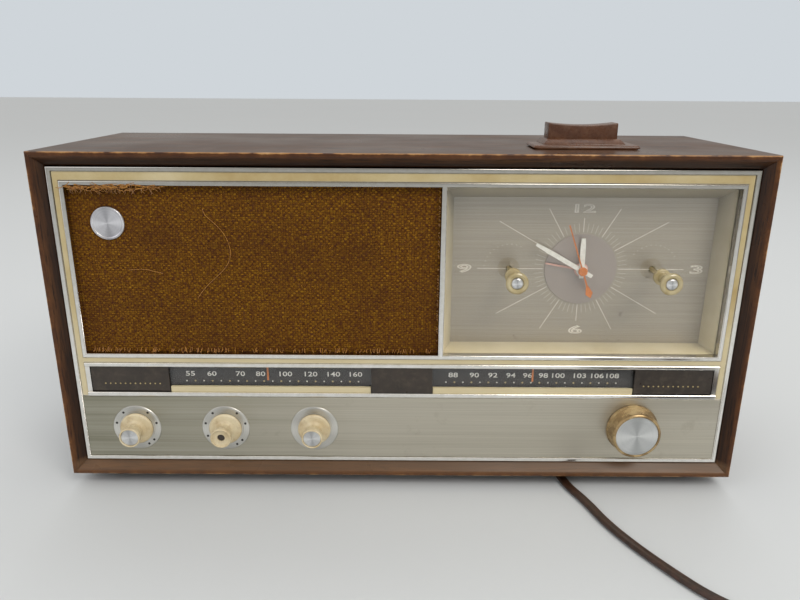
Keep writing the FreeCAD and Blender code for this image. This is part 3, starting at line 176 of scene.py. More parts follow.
def walnutLacquer(name, along):
    # Walnut under dark nitrocellulose lacquer: long dark pores and a soft sheen. The frame's hollow is
    # painted darker as painted shade, the bottom cove lighter as a painted highlight, and the outer front edges are
    # rubbed down to lighter wood.
    made, add, spot = startMaterial(name)
    figureSize, poreSize = {"x": ((110, 6, 6), (16, 0.9, 0.9)), "z": ((6, 6, 110), (0.9, 0.9, 16))}[along]
    drawn = add("ShaderNodeMapping", {"Vector": spot, "Scale": per(*figureSize)}, 0)
    figure = add("ShaderNodeTexNoise", {"Vector": drawn, "Scale": 1.0, "Detail": 6.0, "Roughness": 0.62,
                                        "Distortion": 0.9}, "Fac")
    drawn = add("ShaderNodeMapping", {"Vector": spot, "Scale": per(*poreSize)}, 0)
    pores = add("ShaderNodeTexNoise", {"Vector": drawn, "Scale": 1.0, "Detail": 3.0, "Roughness": 0.7}, "Fac")
    wood = add("ShaderNodeValToRGB", {"Fac": figure}, "Color",
               [(0.28, "#2b1709"), (0.48, "#432711"), (0.62, "#573619"), (0.78, "#38200f")])
    dark = add("ShaderNodeValToRGB", {"Fac": pores}, "Color", [(0.36, 1.0), (0.5, 0.0)])
    wood = add("ShaderNodeMix", {0: dark, 6: wood, 7: hexColour("#1c0d05")}, 2, data_type="RGBA")
    place = add("ShaderNodeSeparateXYZ", {"Vector": spot})
    across = add("ShaderNodeMath", {0: place.outputs["X"]}, 0, operation="ABSOLUTE")
    side = add("ShaderNodeMath", {0: caseHigh.x, 1: across}, 0, operation="SUBTRACT")
    top = add("ShaderNodeMath", {0: caseTop, 1: place.outputs["Z"]}, 0, operation="SUBTRACT")
    under = add("ShaderNodeMath", {0: place.outputs["Z"], 1: woodZ}, 0, operation="SUBTRACT")
    edge = add("ShaderNodeMath", {0: top, 1: under}, 0, operation="MINIMUM")
    edge = add("ShaderNodeMath", {0: side, 1: edge}, 0, operation="MINIMUM")
    near = add("ShaderNodeMath", {0: place.outputs["Y"], 1: frontY}, 0, operation="SUBTRACT")
    inFront = add("ShaderNodeMapRange", {"Value": near, "From Min": 9 * mm, "From Max": 12 * mm,
                                         "To Min": 1.0, "To Max": 0.0}, "Result")
    # painted shade: the hollow next to the moulding is painted darker, less so low down where the bottom cove faces
    # up
    shadedHollow = add("ShaderNodeMapRange", {"Value": edge, "From Min": 3.2 * mm, "From Max": 6 * mm,
                                        "To Min": 0.0, "To Max": 0.75}, "Result")
    lowBoard = add("ShaderNodeMapRange", {"Value": under, "From Min": 8 * mm, "From Max": 11 * mm,
                                          "To Min": 0.25, "To Max": 1.0}, "Result")
    shadedHollow = add("ShaderNodeMath", {0: shadedHollow, 1: lowBoard}, 0, operation="MULTIPLY")
    shadedHollow = add("ShaderNodeMath", {0: shadedHollow, 1: inFront}, 0, operation="MULTIPLY")
    wood = add("ShaderNodeMix", {0: shadedHollow, 6: wood, 7: hexColour("#1d0e06")}, 2, data_type="RGBA")
    patches = add("ShaderNodeTexNoise", {"Vector": spot, "Scale": per(10), "Detail": 8.0, "Roughness": 0.72}, "Fac")
    # along the bottom cove the wood is painted lighter: a painted highlight for the cove's glossy sheen
    paintedSheen = add("ShaderNodeMapRange", {"Value": under, "From Min": 7 * mm, "From Max": 10.5 * mm,
                                      "To Min": 0.4, "To Max": 0.0}, "Result")
    paintedSheen = add("ShaderNodeMath", {0: paintedSheen, 1: inFront}, 0, operation="MULTIPLY")
    wood = add("ShaderNodeMix", {0: paintedSheen, 6: wood, 7: hexColour("#80644a")}, 2, data_type="RGBA")
    lip = add("ShaderNodeMapRange", {"Value": edge, "From Min": 1.6 * mm, "From Max": 3.6 * mm,
                                     "To Min": 0.6, "To Max": 0.0}, "Result")
    onLip = add("ShaderNodeMapRange", {"Value": near, "From Min": 2 * mm, "From Max": 4 * mm,
                                       "To Min": 1.0, "To Max": 0.0}, "Result")
    lip = add("ShaderNodeMath", {0: lip, 1: onLip}, 0, operation="MULTIPLY")
    tone = add("ShaderNodeValToRGB", {"Fac": patches}, "Color",
               [(0.4, "#44240f"), (0.55, "#5c3516"), (0.72, "#7b4f26")])
    wood = add("ShaderNodeMix", {0: lip, 6: wood, 7: tone}, 2, data_type="RGBA")
    # bare wood: how far the rubbing reaches from the edge differs from place to place
    reach = add("ShaderNodeValToRGB", {"Fac": patches}, "Color",
                [(0.40, 0.2 * mm), (0.52, 0.7 * mm), (0.68, 1.3 * mm)])
    fromEdge = add("ShaderNodeMath", {0: near, 1: 0.5}, 0, operation="MULTIPLY")
    fromEdge = add("ShaderNodeMath", {0: edge, 1: fromEdge}, 0, operation="MAXIMUM")
    share = add("ShaderNodeMath", {0: fromEdge, 1: reach}, 0, operation="DIVIDE")
    bare = add("ShaderNodeValToRGB", {"Fac": share}, "Color", [(0.5, 0.85), (1.0, 0.0)])
    rubbed = add("ShaderNodeValToRGB", {"Fac": patches}, "Color",
                 [(0.35, "#8a5a2c"), (0.6, "#b08450"), (0.75, "#d2b48a")])
    wood = add("ShaderNodeMix", {0: bare, 6: wood, 7: rubbed}, 2, data_type="RGBA")
    dust = add("ShaderNodeTexNoise", {"Vector": spot, "Scale": per(70), "Detail": 8.0}, "Fac")
    rough = add("ShaderNodeValToRGB", {"Fac": dust}, "Color", [(0.35, 0.26), (0.65, 0.42)])
    drawn = add("ShaderNodeMapping", {"Vector": spot, "Scale": per(1.1, 25, 1.1)}, 0)
    scratches = add("ShaderNodeTexNoise", {"Vector": drawn, "Scale": 1.0}, "Fac")
    normal = add("ShaderNodeBump", {"Height": pores, "Distance": 0.12 * mm, "Strength": 0.5}, "Normal")
    normal = add("ShaderNodeBump", {"Height": scratches, "Distance": 0.03 * mm, "Strength": 0.3, "Normal": normal},
                 "Normal")
    shader = add("ShaderNodeBsdfPrincipled", {"Base Color": wood, "Roughness": rough, "Normal": normal,
                                              "Coat Weight": 0.06, "Coat Roughness": 0.2, "IOR": 1.5,
                                              "Specular IOR Level": 0.24}, 0)
    add("ShaderNodeOutputMaterial", {"Surface": shader})
    return made


def brightPlating():
    # Vacuum-plated styrene: a mirror film, a little dulled in patches, with a few yellowed specks.
    made, add, spot = startMaterial("vacuum_plated_styrene")
    specks = add("ShaderNodeTexNoise", {"Vector": spot, "Scale": per(3.8), "Detail": 6.0, "Roughness": 0.7}, "Fac")
    wear = add("ShaderNodeTexNoise", {"Vector": spot, "Scale": per(28), "Detail": 3.0}, "Fac")
    colour = add("ShaderNodeValToRGB", {"Fac": specks}, "Color",
                 [(0.24, "#9a8a68"), (0.3, "#dfdcd4"), (0.7, "#f1efeb")])
    rough = add("ShaderNodeValToRGB", {"Fac": wear}, "Color", [(0.35, 0.07), (0.7, 0.17)])
    # the film is painted darker towards the top: a painted reflection of the dark room in front
    height = add("ShaderNodeSeparateXYZ", {"Vector": spot}).outputs["Z"]
    paintedDarkReflection = add("ShaderNodeMapRange", {"Value": height, "From Min": woodZ + 75 * mm, "From Max": woodZ + 182 * mm,
                                        "To Min": 0.0, "To Max": 0.6}, "Result")
    colour = add("ShaderNodeMix", {0: paintedDarkReflection, 6: colour, 7: hexColour("#6b675c")}, 2, data_type="RGBA")
    shader = add("ShaderNodeBsdfPrincipled", {"Base Color": colour, "Metallic": 1.0, "Roughness": rough}, 0)
    add("ShaderNodeOutputMaterial", {"Surface": shader})
    return made


def goldInlay():
    # Pale gold lacquer over foil: warm cream with a soft metal glow, yellowed unevenly.
    made, add, spot = startMaterial("pale_gold_foil")
    stain = add("ShaderNodeTexNoise", {"Vector": spot, "Scale": per(45), "Detail": 7.0, "Roughness": 0.65}, "Fac")
    grit = add("ShaderNodeTexNoise", {"Vector": spot, "Scale": per(1.1)}, "Fac")
    colour = add("ShaderNodeValToRGB", {"Fac": stain}, "Color",
                 [(0.3, "#b29a68"), (0.5, "#c2b083"), (0.7, "#cfc099")])
    # the bands are painted paler towards the bottom
    height = add("ShaderNodeSeparateXYZ", {"Vector": spot}).outputs["Z"]
    paleBelow = add("ShaderNodeMapRange", {"Value": height, "From Min": woodZ + 60 * mm, "From Max": woodZ + 120 * mm,
                                      "To Min": 0.7, "To Max": 0.0}, "Result")
    colour = add("ShaderNodeMix", {0: paleBelow, 6: colour, 7: hexColour("#ddd1ae")}, 2, data_type="RGBA")
    normal = add("ShaderNodeBump", {"Height": grit, "Distance": 0.02 * mm, "Strength": 0.3}, "Normal")
    shader = add("ShaderNodeBsdfPrincipled", {"Base Color": colour, "Metallic": 0.3, "Roughness": 0.34,
                                              "Normal": normal}, 0)
    add("ShaderNodeOutputMaterial", {"Surface": shader})
    return made


def brushedPanel():
    # Aluminium sheet brushed from side to side and lacquered: fine level streaks and a soft spread glow,
    # painted darker and cooler towards the left end as painted shade, warmer towards the right. The streaks are
    # drawn coarser than real ones.
    made, add, spot = startMaterial("brushed_aluminium_panel")
    brushed = add("ShaderNodeMapping", {"Vector": spot, "Scale": per(140, 0.42, 0.42)}, 0)
    streaks = add("ShaderNodeTexNoise", {"Vector": brushed, "Scale": 1.0, "Detail": 5.0, "Roughness": 0.65}, "Fac")
    brushed = add("ShaderNodeMapping", {"Vector": spot, "Scale": per(330, 4, 4)}, 0)
    broad = add("ShaderNodeTexNoise", {"Vector": brushed, "Scale": 1.0, "Detail": 3.0}, "Fac")
    stain = add("ShaderNodeTexNoise", {"Vector": spot, "Scale": per(26), "Detail": 8.0, "Roughness": 0.72}, "Fac")
    shadedCool = add("ShaderNodeValToRGB", {"Fac": streaks}, "Color", [(0.3, "#848270"), (0.7, "#9c9988")])
    warm = add("ShaderNodeValToRGB", {"Fac": streaks}, "Color", [(0.3, "#b4ae9f"), (0.7, "#cbc5b6")])
    # painted shade: the left end is painted darker and cooler
    across = add("ShaderNodeSeparateXYZ", {"Vector": spot}).outputs["X"]
    side = add("ShaderNodeMapRange", {"Value": across, "From Min": -185 * mm, "From Max": -25 * mm}, "Result")
    colour = add("ShaderNodeMix", {0: side, 6: shadedCool, 7: warm}, 2, data_type="RGBA")
    pale = add("ShaderNodeValToRGB", {"Fac": broad}, "Color", [(0.4, 0.0), (0.65, 0.3)])
    colour = add("ShaderNodeMix", {0: pale, 6: colour, 7: hexColour("#cfcabd")}, 2, data_type="RGBA")
    marked = add("ShaderNodeValToRGB", {"Fac": stain}, "Color", [(0.6, 0.0), (0.78, 0.45)])
    colour = add("ShaderNodeMix", {0: marked, 6: colour, 7: hexColour("#857a63")}, 2, data_type="RGBA")
    normal = add("ShaderNodeBump", {"Height": streaks, "Distance": 0.03 * mm, "Strength": 0.35}, "Normal")
    shader = add("ShaderNodeBsdfPrincipled", {"Base Color": colour, "Metallic": 0.9, "Roughness": 0.34,
                                              "Anisotropic": 0.6, "Normal": normal}, 0)
    add("ShaderNodeOutputMaterial", {"Surface": shader})
    return made


def spunMetal(name, centre, dark, bright, ring):
    # Turned aluminium: fine rings about the middle, with wide and narrow fans of painted highlight in its colour.
    made, add, spot = startMaterial(name)
    centred = add("ShaderNodeMapping", {"Vector": spot, "Location": tuple(-c for c in centre)}, 0)
    place = add("ShaderNodeSeparateXYZ", {"Vector": centred})
    flat = add("ShaderNodeCombineXYZ", {"X": place.outputs["X"], "Z": place.outputs["Z"]}, 0)
    radius = add("ShaderNodeVectorMath", {0: flat}, "Value", operation="LENGTH")
    steps = add("ShaderNodeMath", {0: radius, 1: per(ring)}, 0, operation="MULTIPLY")
    rings = add("ShaderNodeTexNoise", {"W": steps, "Scale": 1.0, "Detail": 3.0}, "Fac", noise_dimensions="1D")
    # painted highlight: the colour brightens and darkens in fans with the angle about the middle
    angle = add("ShaderNodeMath", {0: place.outputs["Z"], 1: place.outputs["X"]}, 0, operation="ARCTAN2")
    wide = add("ShaderNodeMath", {0: angle, 1: 2.0, 2: 1.2}, 0, operation="MULTIPLY_ADD")
    narrow = add("ShaderNodeMath", {0: angle, 1: 6.0, 2: 1.2}, 0, operation="MULTIPLY_ADD")
    wide = add("ShaderNodeMath", {0: wide}, 0, operation="SINE")
    narrow = add("ShaderNodeMath", {0: narrow}, 0, operation="SINE")
    tone = add("ShaderNodeMath", {0: rings, 1: 0.5}, 0, operation="MULTIPLY")
    tone = add("ShaderNodeMath", {0: wide, 1: 0.165, 2: tone}, 0, operation="MULTIPLY_ADD")
    tone = add("ShaderNodeMath", {0: narrow, 1: 0.066, 2: tone}, 0, operation="MULTIPLY_ADD")
    colour = add("ShaderNodeValToRGB", {"Fac": tone}, "Color", [(0.0, dark), (0.55, bright)])
    normal = add("ShaderNodeBump", {"Height": rings, "Distance": 0.04 * mm, "Strength": 0.5}, "Normal")
    shader = add("ShaderNodeBsdfPrincipled", {"Base Color": colour, "Metallic": 1.0, "Roughness": 0.3,
                                              "Normal": normal}, 0)
    add("ShaderNodeOutputMaterial", {"Surface": shader})
    return made


def mouldedPlastic(name, base, shade, rough, grime, grimeShare, skin=0.03):
    # Moulded plastic that has aged: even colour with faint mottling and grime in patches.
    made, add, spot = startMaterial(name)
    mottle = add("ShaderNodeTexNoise", {"Vector": spot, "Scale": per(11), "Detail": 6.0, "Roughness": 0.6}, "Fac")
    dirt = add("ShaderNodeTexNoise", {"Vector": spot, "Scale": per(4.2), "Detail": 9.0, "Roughness": 0.7}, "Fac")
    colour = add("ShaderNodeValToRGB", {"Fac": mottle}, "Color", [(0.35, shade), (0.65, base)])
    marked = add("ShaderNodeValToRGB", {"Fac": dirt}, "Color", [(0.5, 0.0), (0.75, grimeShare)])
    colour = add("ShaderNodeMix", {0: marked, 6: colour, 7: hexColour(grime)}, 2, data_type="RGBA")
    roughness = add("ShaderNodeValToRGB", {"Fac": dirt}, "Color", [(0.3, rough - 0.08), (0.7, rough + 0.1)])
    normal = add("ShaderNodeBump", {"Height": dirt, "Distance": skin * mm, "Strength": 0.5}, "Normal")
    shader = add("ShaderNodeBsdfPrincipled", {"Base Color": colour, "Roughness": roughness, "IOR": 1.5,
                                              "Normal": normal}, 0)
    add("ShaderNodeOutputMaterial", {"Surface": shader})
    return made


def grained(name, size, colours, relief, noise=None, gloss=None, surface=None):
    # A material whose colour, gloss and relief all follow one grain. The relief is the height of its
    # grain in millimetres and how strongly it shows.
    made, add, spot = startMaterial(name)
    grain = add("ShaderNodeTexNoise", {"Vector": spot, "Scale": per(size), **(noise or {})}, "Fac")
    values = {"Base Color": add("ShaderNodeValToRGB", {"Fac": grain}, "Color", colours), **(surface or {})}
    if gloss:
        values["Roughness"] = add("ShaderNodeValToRGB", {"Fac": grain}, "Color", gloss)
    height, strength = relief
    values["Normal"] = add("ShaderNodeBump", {"Height": grain, "Distance": height * mm, "Strength": strength},
                           "Normal")
    add("ShaderNodeOutputMaterial", {"Surface": add("ShaderNodeBsdfPrincipled", values, 0)})
    return made


def agedSurface(name, base, shade, rough, metallic=1.0, grain=8):
    # Plated, drawn, painted or pressed stock: its colour and its gloss wander together over the grain.
    return grained(name, grain, [(0.3, shade), (0.65, base)], (0.03, 0.3), {"Detail": 7.0, "Roughness": 0.65},
                   [(0.3, rough - 0.1), (0.7, rough + 0.1)], {"Metallic": metallic})


def enamel(name, base, shade):
    # A thin coat of flat paint or ink: one colour with a dull, slightly uneven skin.
    return agedSurface(name, base, shade, 0.45, 0.0, 2.5)


def clearStyrene():
    # Clear polystyrene: it hardly bends the light and mirrors the room faintly, with smears that blur
    # it here and there. Shadow rays pass, so that the dials behind it are lit.
    made, add, spot = startMaterial("clear_styrene")
    smear = add("ShaderNodeTexNoise", {"Vector": spot, "Scale": per(33), "Detail": 6.0}, "Fac")
    rough = add("ShaderNodeValToRGB", {"Fac": smear}, "Color", [(0.4, 0.02), (0.75, 0.06)])
    glass = add("ShaderNodeBsdfPrincipled", {"Base Color": hexColour("#ffffff"), "IOR": 1.45,
                                             "Transmission Weight": 1.0, "Roughness": rough}, 0)
    through = add("ShaderNodeBsdfTransparent", {"Color": hexColour("#f2f0ea")}, 0)
    shadow = add("ShaderNodeLightPath", out="Is Shadow Ray")
    both = add("ShaderNodeMixShader", {0: shadow, 1: glass, 2: through}, 0)
    add("ShaderNodeOutputMaterial", {"Surface": both})
    return made


def hardboard():
    # Pressed fibreboard: short matted fibres a couple of millimetres long, matt and brown.
    made, add, spot = startMaterial("pressed_hardboard")
    matted = add("ShaderNodeMapping", {"Vector": spot, "Scale": per(2, 2, 0.6)}, 0)
    fibres = add("ShaderNodeTexNoise", {"Vector": matted, "Scale": 1.0, "Detail": 6.0, "Roughness": 0.7,
                                        "Distortion": 1.5}, "Fac")
    colour = add("ShaderNodeValToRGB", {"Fac": fibres}, "Color",
                 [(0.3, "#3d2a1b"), (0.5, "#5a402a"), (0.7, "#6f5237")])
    normal = add("ShaderNodeBump", {"Height": fibres, "Distance": 0.2 * mm, "Strength": 0.6}, "Normal")
    shader = add("ShaderNodeBsdfPrincipled", {"Base Color": colour, "Roughness": 0.78, "Normal": normal}, 0)
    add("ShaderNodeOutputMaterial", {"Surface": shader})
    return made


weave = {"level": 1.35, "upright": 1.5, "yarn": 0.9, "slub": 3.4, "through": 20, "wander": 1.6,
         "weft": ("#3e2207", "#613a0a", "#7c520e", "#a0751c"),
         "warp": ("#30180a", "#512c0c", "#66430d", "#825a16")}


def tweedWeave():
    # Rayon and jute tweed: slubby threads in rust, olive gold and a purplish brown, crossing over and
    # under. The threads are drawn about twice as far apart as real ones, or they wouldn't show.
    made, add, spot = startMaterial("tweed_grille_weave")
    drift = add("ShaderNodeTexNoise", {"Vector": spot, "Scale": per(14), "Detail": 3.0}, "Color")
    nudge = add("ShaderNodeVectorMath", {0: drift, "Scale": weave["wander"] * mm}, 0, operation="SCALE")
    moved = add("ShaderNodeVectorMath", {0: spot, 1: nudge}, 0, operation="ADD")
    place = add("ShaderNodeSeparateXYZ", {"Vector": moved})
    waves = []
    for axis, apart in (("Z", weave["level"]), ("X", weave["upright"])):
        turn = add("ShaderNodeMath", {0: place.outputs[axis], 1: math.pi * per(apart)}, 0, operation="MULTIPLY")
        waves.append(add("ShaderNodeMath", {0: turn}, 0, operation="SINE"))
    # which thread lies on top
    crossing = add("ShaderNodeMath", {0: waves[0], 1: waves[1]}, 0, operation="MULTIPLY")
    over = add("ShaderNodeMapRange", {"Value": crossing, "From Min": -0.3, "From Max": 0.3}, "Result")
    yarns = []
    for size, tones in ((per(weave["slub"], weave["through"], weave["yarn"]), weave["weft"]),
                        (per(weave["yarn"], weave["through"], weave["slub"]), weave["warp"])):
        spun = add("ShaderNodeMapping", {"Vector": moved, "Scale": size}, 0)
        yarn = add("ShaderNodeTexNoise", {"Vector": spun, "Scale": 1.0, "Detail": 3.0, "Roughness": 0.65}, "Fac")
        yarns.append(add("ShaderNodeValToRGB", {"Fac": yarn}, "Color", list(zip((0.3, 0.44, 0.56, 0.7), tones))))
    colour = add("ShaderNodeMix", {0: over, 6: yarns[0], 7: yarns[1]}, 2, data_type="RGBA")
    spun = add("ShaderNodeMapping", {"Vector": spot, "Scale": per(2.2, weave["through"], 1.9)}, 0)
    fleck = add("ShaderNodeTexNoise", {"Vector": spun, "Scale": 1.0, "Detail": 2.0}, "Fac")
    plum = add("ShaderNodeValToRGB", {"Fac": fleck}, "Color", [(0.56, 0.0), (0.68, 0.6)])
    colour = add("ShaderNodeMix", {0: plum, 6: colour, 7: hexColour("#45241f")}, 2, data_type="RGBA")
    olive = add("ShaderNodeValToRGB", {"Fac": fleck}, "Color", [(0.3, 0.5), (0.42, 0.0)])
    colour = add("ShaderNodeMix", {0: olive, 6: colour, 7: hexColour("#8f6a14")}, 2, data_type="RGBA")
    blotch = add("ShaderNodeTexNoise", {"Vector": spot, "Scale": per(33), "Detail": 6.0, "Roughness": 0.6}, "Fac")
    soiled = add("ShaderNodeValToRGB", {"Fac": blotch}, "Color", [(0.3, 0.5), (0.55, 0.0)])
    colour = add("ShaderNodeMix", {0: soiled, 6: colour, 7: hexColour("#43230f")}, 2, data_type="RGBA")
    hump = add("ShaderNodeMath", {0: crossing}, 0, operation="ABSOLUTE")
    # painted shade: the gaps between the threads are painted darker
    shadedGaps = add("ShaderNodeMapRange", {"Value": hump, "From Min": 0.0, "From Max": 0.3, "To Min": 0.5,
                                         "To Max": 0.0}, "Result")
    colour = add("ShaderNodeMix", {0: shadedGaps, 6: colour, 7: hexColour("#2a1507")}, 2, data_type="RGBA")
    normal = add("ShaderNodeBump", {"Height": hump, "Distance": 0.4 * mm, "Strength": 0.6}, "Normal")
    shader = add("ShaderNodeBsdfPrincipled", {"Base Color": colour, "Roughness": 0.85, "Sheen Weight": 0.04,
                                              "Sheen Roughness": 0.4, "Specular IOR Level": 0.12,
                                              "Normal": normal}, 0)
    add("ShaderNodeOutputMaterial", {"Surface": shader})
    return made


light = {"wall": "#cfd5da", "floor": "#cdd1d4", "key": 15, "fill": 5, "rim": 6, "sky": 0.95, "ground": 0.34}


def makeLamp(name, place, aim, size, watts, colour="#ffffff"):
    data = bpy.data.lights.new(name, "AREA")
    data.shape = "RECTANGLE"
    data.size, data.size_y = size
    data.energy = watts
    data.color = hexColour(colour)[:3]
    made = linked(name, data)
    made.location = place
    made.rotation_euler = (Vector(aim) - Vector(place)).to_track_quat("-Z", "Y").to_euler()


def makeStage():
    # A pale painted table: matt and even, so that only the shadow shows on it.
    made, add, spot = startMaterial("pale_table")
    scuff = add("ShaderNodeTexNoise", {"Vector": spot, "Scale": per(900)}, "Fac")
    rough = add("ShaderNodeValToRGB", {"Fac": scuff}, "Color", [(0.3, 0.58), (0.7, 0.64)])
    shader = add("ShaderNodeBsdfPrincipled", {"Base Color": hexColour(light["floor"]), "Roughness": rough}, 0)
    add("ShaderNodeOutputMaterial", {"Surface": shader})
    floorMesh = bpy.data.meshes.new("floor")
    floorMesh.from_pydata([(-6, -6, 0), (6, -6, 0), (6, 9, 0), (-6, 9, 0)], [], [(0, 1, 2, 3)])
    floorMesh.materials.append(made)
    linked("floor", floorMesh)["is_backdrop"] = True

    # the room is darker low down and lighter overhead, which gives the plating its dark and bright lines
    world = bpy.data.worlds.new("room")
    world.use_nodes = True
    world.node_tree.nodes.clear()
    bpy.context.scene.world = world
    add = nodeAdder(world.node_tree)
    around = add("ShaderNodeTexCoord", out="Generated")
    upwards = add("ShaderNodeSeparateXYZ", {"Vector": around}).outputs["Z"]
    level = add("ShaderNodeMapRange", {"Value": upwards, "From Min": -0.1, "From Max": 0.75,
                                       "To Min": light["ground"], "To Max": light["sky"]}, "Result")
    room = add("ShaderNodeBackground", {"Color": hexColour("#f5f3ef"), "Strength": level}, 0)
    behind = add("ShaderNodeBackground", {"Color": hexColour(light["wall"])}, 0)
    rays = add("ShaderNodeLightPath").outputs
    seen = add("ShaderNodeMath", {0: rays["Is Camera Ray"], 1: rays["Is Transmission Ray"]}, 0,
               operation="MAXIMUM")
    both = add("ShaderNodeMixShader", {0: seen, 1: room, 2: behind}, 0)
    add("ShaderNodeOutputWorld", {"Surface": both})
    makeLamp("window", (0.75, -1.25, 1.45), (0, 0, 0.12), (0.9, 0.7), light["key"], "#fffaf2")
    makeLamp("room_side", (-1.4, -1.2, 0.9), (0, 0, 0.1), (1.2, 1.2), light["fill"], "#f4f6ff")
    makeLamp("ceiling", (0.2, 0.9, 1.9), (0, 0, 0.15), (1.4, 0.9), light["rim"])


makeStage()
print("floor and lamps made")


# Each point is across, behind the front edge, and above the table, in millimetres.
cordRoute = [(94, 143, 62), (94, 162, 62), (95, 182, 50), (96, 191, 29), (97, 182, 9), (98, 160, 2.2),
             (100, 125, 2.2), (99, 78, 2.2), (100, 34, 2.2), (103, 4, 2.2), (112, -16, 2.2),
             (118, -37, 2.2), (128, -58, 2.2), (140, -78, 2.2), (153, -97, 2.2), (171, -112, 2.2),
             (192, -120, 3), (212, -122, 5)]
lead = {"length": 1.75, "width": 5.4, "core": 1.4, "coreArc": 250, "coreSteps": 8, "ring": 30, "pile": 7,
        "wholeTurns": 6, "coilPoints": 95, "stray": 0.25, "plugLevel": 6.5}
# The coil's turns: how far each lies outside the ring's middle line, and how high above the table.
coilTurns = [(-0.2, 3.0), (3.4, 3.2), (-3.8, 3.4), (1.7, 6.6), (-2.2, 6.8), (-0.4, 10.0), (2.6, 9.6), (0.5, 10.6)]


def onTable(x, depth, height):
    return Vector((x * mm, frontY + depth * mm, height * mm))


def leadSection():
    # Two round cores side by side, joined by a narrow web.
    flat = bpy.data.curves.new("lead_section", "CURVE")
    flat.dimensions = "2D"
    core, steps = lead["core"], lead["coreSteps"]
    points = []
    for side in (1, -1):
        for step in range(steps + 1):
            turn = math.radians(lead["coreArc"]) * (step / steps - 0.5)
            points.append((side * (lead["width"] / 2 - core + core * math.cos(turn)), side * core * math.sin(turn)))
    loop = flat.splines.new("POLY")
    loop.points.add(len(points) - 1)
    for point, (x, y) in zip(loop.points, points):
        point.co = (x * mm, y * mm, 0, 1)
    loop.use_cyclic_u = True
    return linked("lead_section", flat)


def smoothLines(name, paths, resolution):
    data = bpy.data.curves.new(name, "CURVE")
    data.dimensions = "3D"
    data.resolution_u = resolution
    data.use_fill_caps = True
    for path in paths:
        spline = data.splines.new("NURBS")
        spline.points.add(len(path) - 1)
        for point, place in zip(spline.points, path):
            point.co = (*place, 1)
        spline.order_u = 3
        spline.use_endpoint_u = True
    return linked(name, data)


def windCoil(centre, startAngle):
    # Loose turns lie beside and on one another, and the last one ends towards the plug.
    shake = random.Random(4)
    total = -(math.tau * lead["wholeTurns"] + (math.pi / 2 + startAngle) % math.tau)
    last = len(coilTurns) - 1
    points = []
    for i in range(1, lead["coilPoints"]):
        turned = total * i / lead["coilPoints"]
        layer = -turned / math.tau
        out, up = coilTurns[min(int(layer), last)]
        nextOut, nextUp = coilTurns[min(int(layer) + 1, last)]
        blend = min(max((layer % 1) * 1.6 - 0.3, 0), 1)
        radius = (lead["ring"] + out + (nextOut - out) * blend + shake.uniform(-1, 1) * lead["stray"]) * mm
        points.append(Vector((centre.x + radius * math.cos(startAngle + turned),
                              centre.y + radius * math.sin(startAngle + turned),
                              (up + (nextUp - up) * blend) * mm)))
    return points


def makeCord():
    plugLow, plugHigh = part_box("power_plug")
    run = [onTable(*point) for point in cordRoute]
    heading = run[-1] - run[-2]
    heading.z = 0
    heading.normalize()
    sideways = Vector((heading.y, -heading.x, 0))
    reach = (math.sqrt((lead["ring"] + lead["pile"]) ** 2 - lead["ring"] ** 2) + 4) * mm
    centre = run[-1] + heading * reach + sideways * lead["ring"] * mm
    centre.z = 0
    coil = windCoil(centre, math.atan2(-sideways.y, -sideways.x))
    plugStart = Vector((plugHigh.x, (plugLow.y + plugHigh.y) / 2, lead["plugLevel"] * mm))
    leadOut = [Vector((centre.x - 5 * mm, plugStart.y, 8 * mm)),
               Vector((centre.x - 16 * mm, plugStart.y, plugStart.z)),
               plugStart + Vector((7 * mm, 0, 0)), plugStart - Vector((1.5 * mm, 0, 0))]
    cord = smoothLines("mains_cord", [run + [run[-1] + heading * reach * 0.45] + coil + leadOut], 8)
    section = leadSection()
    cord.data.bevel_mode = "OBJECT"
    cord.data.bevel_object = section
    section.hide_render = True
    section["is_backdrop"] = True
    # soft brown vinyl: dull and dusty, with a faint waxy light along the top
    jacket = grained("pvc_lead_jacket", 3.3, [(0.35, "#27180f"), (0.7, "#432b1f")], (0.03, 0.5),
                     {"Detail": 6.0}, [(0.3, 0.34), (0.7, 0.5)])
    cord.data.materials.append(jacket)
    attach(cord, "cabinet")
    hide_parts("power_cord_run", "power_cord_coil")
    return cord, jacket


cordPiece, leadJacket = makeCord()
print("cord laid")


slotOf = {part["node"]: part["material_slot"] for part in frame["record"]["subparts"]}
bodyOf = {node: body for body, nodes in frame["record"]["behaviour"]["bodies"].items() for node in nodes}


def settle(name, mesh, body, finish, stands=(), slotName=None):
    # Puts a finished mesh in the scene: its body, the solids it stands for, and its material. The slot name it is
    # given is not used.
    piece = linked(name, mesh)
    mesh.materials.clear()
    mesh.materials.append(finish)
    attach(piece, body)
    if stands:
        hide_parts(*stands)
        slotName = slotName or slotOf[stands[0]]
    return piece


def plainMesh(thing):
    # What an object's curve, text or modifiers come to, with the object itself taken away.
    bpy.context.view_layer.update()
    mesh = bpy.data.meshes.new_from_object(thing.evaluated_get(bpy.context.evaluated_depsgraph_get()))
    data = thing.data
    bpy.data.objects.remove(thing)
    if data.users == 0:
        bpy.data.batch_remove([data])
    return mesh


def meshOf(work, name):
    mesh = bpy.data.meshes.new(name)
    work.to_mesh(mesh)
    work.free()
    return mesh


def smoothed(mesh, angle):
    mesh.polygons.foreach_set("use_smooth", [True] * len(mesh.polygons))
    mesh.set_sharp_from_angle(angle=math.radians(angle))
    return mesh


def bridge(work, first, second, closed=True):
    # Faces between two rows of points, and from the rows' ends back to their starts if they are closed.
    for i in range(len(first) if closed else len(first) - 1):
        j = (i + 1) % len(first)
        work.faces.new((first[i], second[i], second[j], first[j]))


def roundEdges(work, edges, width, steps=3, clamped=True):
    bmesh.ops.bevel(work, geom=edges, offset=width * mm, segments=steps, profile=0.5, affect="EDGES",
                    clamp_overlap=clamped)


